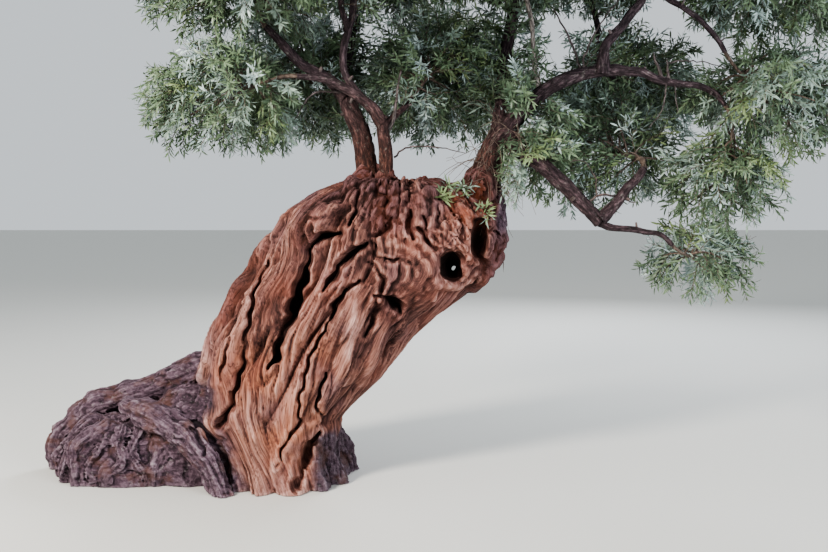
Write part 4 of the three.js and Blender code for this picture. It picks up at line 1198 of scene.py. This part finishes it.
def rods(starts, ends, first, last):
    """Three-sided straight twigs between many pairs of points, with a radius at both ends."""
    along = unit(ends - starts)
    side = unit(np.cross(along, [0.37, 0.61, 0.70]))
    over = np.cross(along, side)
    points = []
    for at, radius in ((starts, first), (ends, last)):
        for k in range(3):
            turn = 2 * np.pi * k / 3
            points.append(at + (side * math.cos(turn) + over * math.sin(turn)) * np.reshape(radius, (-1, 1)))
    points = np.stack(points, 1)
    faces = np.array([[k, (k + 1) % 3, 3 + (k + 1) % 3, 3 + k] for k in range(3)])
    return points.reshape(-1, 3), (np.arange(len(starts))[:, None, None] * 6 + faces).reshape(-1, 4)


def leaves_of(roots, headings, uppers, lengths, widths):
    """Narrow leaves of four faces, widest below the middle and bent back at the tip."""
    side = unit(np.cross(headings, uppers))
    upper = np.cross(side, headings)
    stations = [(0, 0, 0), (0.30, -0.5, 0.03), (0.30, 0.5, 0.03), (0.68, -0.42, -0.01), (0.68, 0.42, -0.01),
                (1, 0, -0.12)]
    points = np.stack([roots + headings * (lengths * a)[:, None] + side * (widths * b)[:, None]
                       + upper * (lengths * c)[:, None] for a, b, c in stations], 1)
    faces = np.array([[0, 2, 1], [1, 2, 4], [1, 4, 3], [3, 4, 5]])
    return points.reshape(-1, 3), (np.arange(len(roots))[:, None, None] * 6 + faces).reshape(-1, 3)


def turned_about(axis, vector, angle):
    angle = np.reshape(angle, (-1, 1))
    return (vector * np.cos(angle) + np.cross(axis, vector) * np.sin(angle)
            + axis * np.sum(axis * vector, axis=-1, keepdims=True) * (1 - np.cos(angle)))


def leafy(starts, ends, tints, draw):
    """Leaves in opposite pairs along straight shoots, each pair turned a quarter from the one before."""
    lengths = np.linalg.norm(ends - starts, axis=1)
    counts = np.maximum(2, np.round(lengths / LEAF_SPACING).astype(int))
    shoot = np.repeat(np.arange(len(starts)), counts)
    order = np.concatenate([np.arange(n) for n in counts])
    share = (order + 0.6) / counts[shoot]
    along = unit(ends - starts)[shoot]
    root = starts[shoot] + (ends - starts)[shoot] * share[:, None]
    across = unit(np.cross(along, UP + 0.01))
    across = turned_about(along, across, order * np.pi / 2 + draw.uniform(-0.5, 0.5, len(order)))
    pieces = []
    for sign in (1, -1):
        lean = draw.uniform(0.55, 1.05, len(order))[:, None] * np.where(share > 0.93, 0.5, 1)[:, None]
        hang = UP * draw.uniform(0, 0.25, (len(order), 1))
        heading = unit(along * np.cos(lean) + across * sign * np.sin(lean) - hang)
        upper = along * np.sin(lean) - across * sign * np.cos(lean)
        upper = turned_about(heading, unit(upper), draw.uniform(-0.6, 0.6, len(order)))
        size = draw.uniform(0.72, 1.12, len(order)) * np.where(share > 0.85, 0.8, 1)
        width = LEAF_WIDTH * size * draw.uniform(0.85, 1.15, len(size))
        pieces.append((root, heading, upper, LEAF_LENGTH * size, width, tints[shoot]))
    return [np.concatenate(column) for column in zip(*pieces)]


def sprays(roots, headings, length, outward, draw):
    """Rods and leaves of sprays that droop towards their tips, each with side shoots and one tint."""
    elbows = reached(roots, headings, length * 0.5, length * ELBOW_DROOP)
    tips = reached(roots, headings, length, length * SPRAY_DROOP)
    tints = draw.choice(len(LEAF_TINTS), len(roots), p=[share for _, share in LEAF_TINTS.values()])
    rod_list = [(roots, elbows, *SPRAY_RADII[:2]), (elbows, tips, *SPRAY_RADII[1:])]
    shoots = [(roots, elbows, tints), (elbows, tips, tints)]
    for at, sign in SIDE_SHOOTS:
        from_ = np.where(at < 0.5, roots + (elbows - roots) * at * 2, elbows + (tips - elbows) * (at * 2 - 1))
        along = unit(tips - roots)
        across = unit(np.cross(along, unit(outward) + 0.01))
        heading = unit(along * 0.8 + across * sign * 0.7 - UP * 0.12 + draw.normal(0, 0.16, along.shape))
        to = reached(from_, heading, length * SIDE_SHOOT_LENGTH * draw.uniform(0.7, 1.15, len(length)))
        fits = in_reach(to)
        rod_list.append((from_[fits], to[fits], *SIDE_SHOOT_RADII))
        shoots.append((from_[fits], to[fits], tints[fits]))
    return rod_list, [np.concatenate(c) for c in zip(*[leafy(*shoot, draw) for shoot in shoots])]


def kept_leaves(columns, allowed):
    """Blades and tints of the leaves whose middle is allowed and whose tip is within the part's box."""
    middle = reached(*columns[:2], columns[3] * 0.5)
    fits = in_reach(reached(*columns[:2], columns[3])) & allowed(middle)
    columns = [c[fits] for c in columns]
    return leaves_of(*columns[:5]), np.repeat(columns[5], 4)


def bent(starts, bend, ends, u):
    """Place on a curve that leaves its start towards the bend."""
    return starts * (1 - u) ** 2 + bend * 2 * u * (1 - u) + ends * u * u


def grow(number, name):
    """Rods, leaf blades and tints of one mass."""
    _, carrier, centre, half = MASSES[name]
    draw = np.random.default_rng(1000 + number)
    centre, half = np.array(centre, float), np.array(half, float)
    line, radii = middles[carrier]
    start, tangent = line[-1], unit(line[-1] - line[-2])
    reach = np.linalg.norm(centre - start)
    corners = [start, start + tangent * reach * STEM_LEAD, centre + (start - centre) * 0.25,
               centre + (centre - start) * STEM_PAST]
    t = np.linspace(0, 1, 21)[:, None]
    stem = sum(c * k * (1 - t) ** (3 - i) * t ** i for i, (c, k) in enumerate(zip(corners, (1, 3, 3, 1))))
    axis = unit(centre - start)
    stem_radii = max(radii[-1] * 0.95, 12) * (1 - 0.6 * t[:, 0])
    twigs = int(round(TWIGS_TO_A_MASS * (np.prod(half) / MEAN_VOLUME) ** 0.8))
    directions = spread(twigs)
    share = 0.58 + 0.42 * ((0.5 + np.arange(twigs) * GOLDEN_SHARE) % 1)
    ends = centre + directions * (half - TWIG_INSET) * share[:, None]
    at = TWIG_FIRST + (TWIG_LAST - TWIG_FIRST) * (directions @ axis + 1) / 2
    starts = np.stack([np.interp(at, t[:, 0], stem[:, k]) for k in range(3)], 1)
    bend = (starts + ends) / 2 + UP * np.linalg.norm(ends - starts, axis=1)[:, None] * 0.14
    bend += draw.normal(0, 26, bend.shape)
    curves = [bent(starts, bend, ends, u) for u in np.linspace(0, 1, TWIG_PARTS + 1)]
    thick = np.linspace(*TWIG_RADII, TWIG_PARTS + 1)
    rod_list = [(stem[:-1], stem[1:], stem_radii[:-1], stem_radii[1:])]
    rod_list += zip(curves, curves[1:], thick, thick[1:])
    places = np.linspace(0.26, 1, SPRAYS_TO_A_TWIG)
    roots, headings = [], []
    for j, u in enumerate(places):
        at = bent(starts, bend, ends, u)
        along = unit((bend - starts) * (1 - u) + (ends - bend) * u)
        across = unit(np.cross(along, UP + 0.02))
        turn = GOLDEN_TURN * j + draw.uniform(-0.6, 0.6, twigs) + np.arange(twigs)
        across = turned_about(along, across, turn)
        outward = unit(at - centre)
        lean = 0.25 if j == len(places) - 1 else 0.85
        heading = along * 0.75 + across * lean + outward * 0.35 - UP * 0.18 + draw.normal(0, 0.12, at.shape)
        roots.append(at)
        headings.append(unit(heading))
    roots, headings = np.vstack(roots), np.vstack(headings)
    length = SPRAY_LENGTH * draw.uniform(0.78, 1.12, len(roots))
    chosen = np.zeros(len(roots))
    for size in SPRAY_SIZES:
        tips = reached(roots, headings, length * size, length * size * SPRAY_DROOP)
        middle = (roots + tips) / 2
        fits = in_space(tips, number, 0.97) & in_reach(tips) & ~in_window(tips) & ~in_window(middle)
        chosen = np.where((chosen == 0) & fits, size, chosen)
    kept = chosen > 0
    roots, headings, length = roots[kept], headings[kept], (length * chosen)[kept]
    more_rods, columns = sprays(roots, headings, length, roots - centre, draw)
    rod_list += more_rods
    return rod_list, *kept_leaves(columns, lambda middle: in_space(middle, number) & (
        ~in_window(middle) | (draw.random(len(middle)) < WINDOW_KEPT)))


def stacked(parts):
    """Several sets of points and faces as one."""
    offsets = np.cumsum([0, *[len(points) for points, _ in parts[:-1]]])
    return np.vstack([points for points, _ in parts]), np.vstack([f + o for (_, f), o in zip(parts, offsets)])


leaf_finishes = [plain_finish(name, text, 0.48) for name, (text, _) in LEAF_TINTS.items()]
twig_bark, wired, place = begin_finish("twig_bark")
shade = place.grained(0.02, 0.05, 3).toned((0.35, "40342f"), (0.6, "6e5f55"), (0.75, "8d8274"))
shader = twig_bark.node_tree.nodes["Principled BSDF"]
twig_bark.node_tree.links.new(shade.socket, shader.inputs["Base Color"])
shader.inputs["Roughness"].default_value = 0.85

for group in ("left", "back_left", "back_right", "top", "front", "right"):
    names = [name for name, row in MASSES.items() if row[0] == group]
    grown = [grow(list(MASSES).index(name), name) for name in names]
    points, faces = stacked([rods(*rod) for rod_list, _, _ in grown for rod in rod_list])
    twigs = make_piece("twigs_" + group, points, faces, [twig_bark], {})
    points, faces = stacked([blades for _, blades, _ in grown])
    leaves = make_piece("leaves_" + group, points, faces, leaf_finishes, {},
                        np.concatenate([tints for _, _, tints in grown]))
    for piece in (twigs, leaves):
        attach(piece, "root")
        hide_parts(*names)


# Dead wood and sprouts: short stubs where boughs died, thin bare branches, dry twigs that hang round the
# right stem, a split-off spike on the trunk's right edge, and leafy shoots on the head and the inner boughs.
BARE_BRANCHES = [  # points in X and Z, Y at both ends, radius at both ends
    ([[1781, 2425], [1752, 2540], [1643, 2769]], -145, -90, 8, 4),
    ([[1800, 2420], [1792, 2479], [1850, 2620], [1922, 2737], [2004, 2825]], -160, -210, 7, 3),
    ([[2235, 2365], [2215, 2440], [2190, 2495]], -205, -215, 13, 6),
    ([[2278, 2350], [2272, 2420], [2268, 2470]], -205, -200, 12, 5),
    ([[2268, 2462], [2350, 2474], [2473, 2467], [2590, 2440]], -202, -190, 5, 2),
    ([[2262, 2345], [2240, 2200], [2170, 2095]], -210, -235, 5, 2),
    ([[2312, 2340], [2318, 2260], [2330, 2190]], -210, -225, 4, 2),
    ([[1800, 1650], [1905, 1708], [2010, 1700], [2110, 1662]], -190, -120, 9, 3),
    ([[1880, 1705], [1862, 1820], [1790, 1905], [1730, 1900]], -175, -200, 5, 2),
    ([[430, 2315], [330, 2320], [218, 2305], [122, 2161]], 30, -60, 9, 3),
    ([[700, 1930], [758, 1981], [914, 1993], [1118, 1957]], -40, -90, 6, 2),
    ([[640, 2050], [700, 2160], [716, 2300], [735, 2420]], -60, -30, 13, 5),
]
SPIKE = ([[1322, 1440], [1336, 1360], [1343, 1282]], -150, -165, 9, 1.5)
SPUR_STEP = 380  # a short stub about this often along every bough
STICK_SIDES = 7
DRY_TWIGS = 120
TWIG_JOINTS = 5
# Sprouts on the head: place in X and Z, and size
HEAD_SPROUTS = [(964, 1692, 0.9), (1232, 1606, 1), (1105, 1738, 0.8), (560, 1752, 0.7), (1000, 1745, 0.7)]
SPROUT_SHOOTS, SPROUT_LENGTH = 6, 95
INNER_SPRAY_STEP = 42

draw = np.random.default_rng(77)
parts, attributes = [], []


def add_stick(path, radii, seed):
    rings, around = tube_rings(path, radii, STICK_SIDES, seed)
    parts.append((rings.reshape(-1, 3), ring_faces(len(path), STICK_SIDES)))
    attributes.append(around.reshape(-1, 3) + 900 * seed)


for number, (path, first_y, last_y, first, last) in enumerate([*BARE_BRANCHES, SPIKE]):
    flat = smooth_path(path, 22)
    share = np.linspace(0, 1, len(flat))
    line = np.stack([flat[:, 0], first_y + (last_y - first_y) * share, flat[:, 1]], 1)
    line[1:] += draw.normal(0, 2.2, line[1:].shape)
    add_stick(np.vstack([line, line[-1] * 2 - line[-2]]), np.r_[first + (last - first) * share, last * 0.2],
              200 + number)
for name, (line, radii) in middles.items():
    for at in np.arange(SPUR_STEP * 0.6, (len(line) - 4) * RING_STEP, SPUR_STEP * draw.uniform(0.8, 1.2)):
        i = int(at / RING_STEP)
        heading = unit(np.cross(line[i + 1] - line[i], draw.normal(0, 1, 3)) + UP * draw.uniform(0, 0.5))
        reach = radii[i] + draw.uniform(18, 46)
        thick = min(radii[i] * 0.42, 15)
        steps = np.array([0, 0.55, 0.92, 1.0])[:, None]
        add_stick(line[i] + heading * steps * reach, thick * np.array([1.3, 0.9, 0.75, 0.15]), 230 + i)
points, faces = stacked(parts)
dead_wood = make_piece("bare_branches", points, faces, [bark], {
    "grain": np.vstack(attributes) / 1000,
    "red": np.clip((2100 - points[:, 2]) / 500, 0, 0.6),
    "pale": np.full(len(points), 0.25),
})

line, radii = middles["right_stem"]
start = line[draw.integers(8, len(line) - 2, DRY_TWIGS)] + draw.normal(0, 40, (DRY_TWIGS, 3)) * [1, 1, 0.6]
heading = unit(draw.normal(0, 1, (DRY_TWIGS, 3)) * [1, 1, 0.5] + [0.1, -0.5, 0.25])
length = draw.uniform(150, 430, DRY_TWIGS)[:, None] / TWIG_JOINTS
thick = np.linspace(2.6, 0.9, TWIG_JOINTS + 1)
rod_list = []
for k in range(TWIG_JOINTS):
    end = start + heading * length
    rod_list.append((start, end, thick[k], thick[k + 1]))
    start, heading = end, unit(heading - UP * 0.36 + draw.normal(0, 0.2, heading.shape))

# Shoots on the head spread out like a star, and those of the inner boughs are sprays like the crown's own
places = np.array([row[:2] for row in HEAD_SPROUTS], float)
sizes = np.repeat([row[2] for row in HEAD_SPROUTS], SPROUT_SHOOTS)
root = np.repeat(np.insert(places, 1, face_depth(places, -1) + 4, axis=1), SPROUT_SHOOTS, 0)
heading = unit(draw.normal(0, 0.6, root.shape) + [0, -0.75, 0.35])
tip = reached(root, heading, SPROUT_LENGTH * sizes * draw.uniform(0.6, 1.1, len(root)))
rod_list.append((root, tip, 1.6, 0.8))
columns = [leafy(root, tip, draw.choice([1, 2, 4], len(root)), draw)]
for name, row in LIMBS.items():
    if (row[2] and name not in COVERED) or name in ("right_stem", "pale_shoot"):
        continue
    line, radii = middles[name]
    i = np.arange(12, len(line) - 1, INNER_SPRAY_STEP / RING_STEP).astype(int)
    if name in COVERED:
        i = np.repeat(np.arange(1, np.argmax(line[:, 0] > COVERED[name] - 30)), 2)
    if name == "leader_bough":
        i = np.arange(6, len(line) - 1)
    along = unit(line[i + 1] - line[i])
    across = turned_about(along, unit(np.cross(along, UP + 0.02)), draw.uniform(0, 2 * np.pi, len(i)))
    heading = unit(across + along * 0.5 + UP * 0.15)
    length = draw.uniform(190, 330, len(i))
    clear = in_reach(reached(line[i], heading, length))
    clear &= ~in_window(line[i] + heading * length[:, None] * 0.8)
    more_rods, leaves = sprays(line[i][clear], heading[clear], length[clear], across[clear], draw)
    rod_list += more_rods
    columns.append(leaves)
columns = [np.concatenate(c) for c in zip(*columns)]
blades, tints = kept_leaves(columns, lambda middle: ~in_window(middle))
dry_twigs = make_piece("dry_twigs", *stacked([rods(*rod) for rod in rod_list]), [twig_bark], {})
sprouts = make_piece("leafy_sprouts", *blades, leaf_finishes, {}, tints)
for piece, slot in ((dead_wood, "bough_bark"), (dry_twigs, "bough_bark"), (sprouts, "foliage")):
    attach(piece, "root")
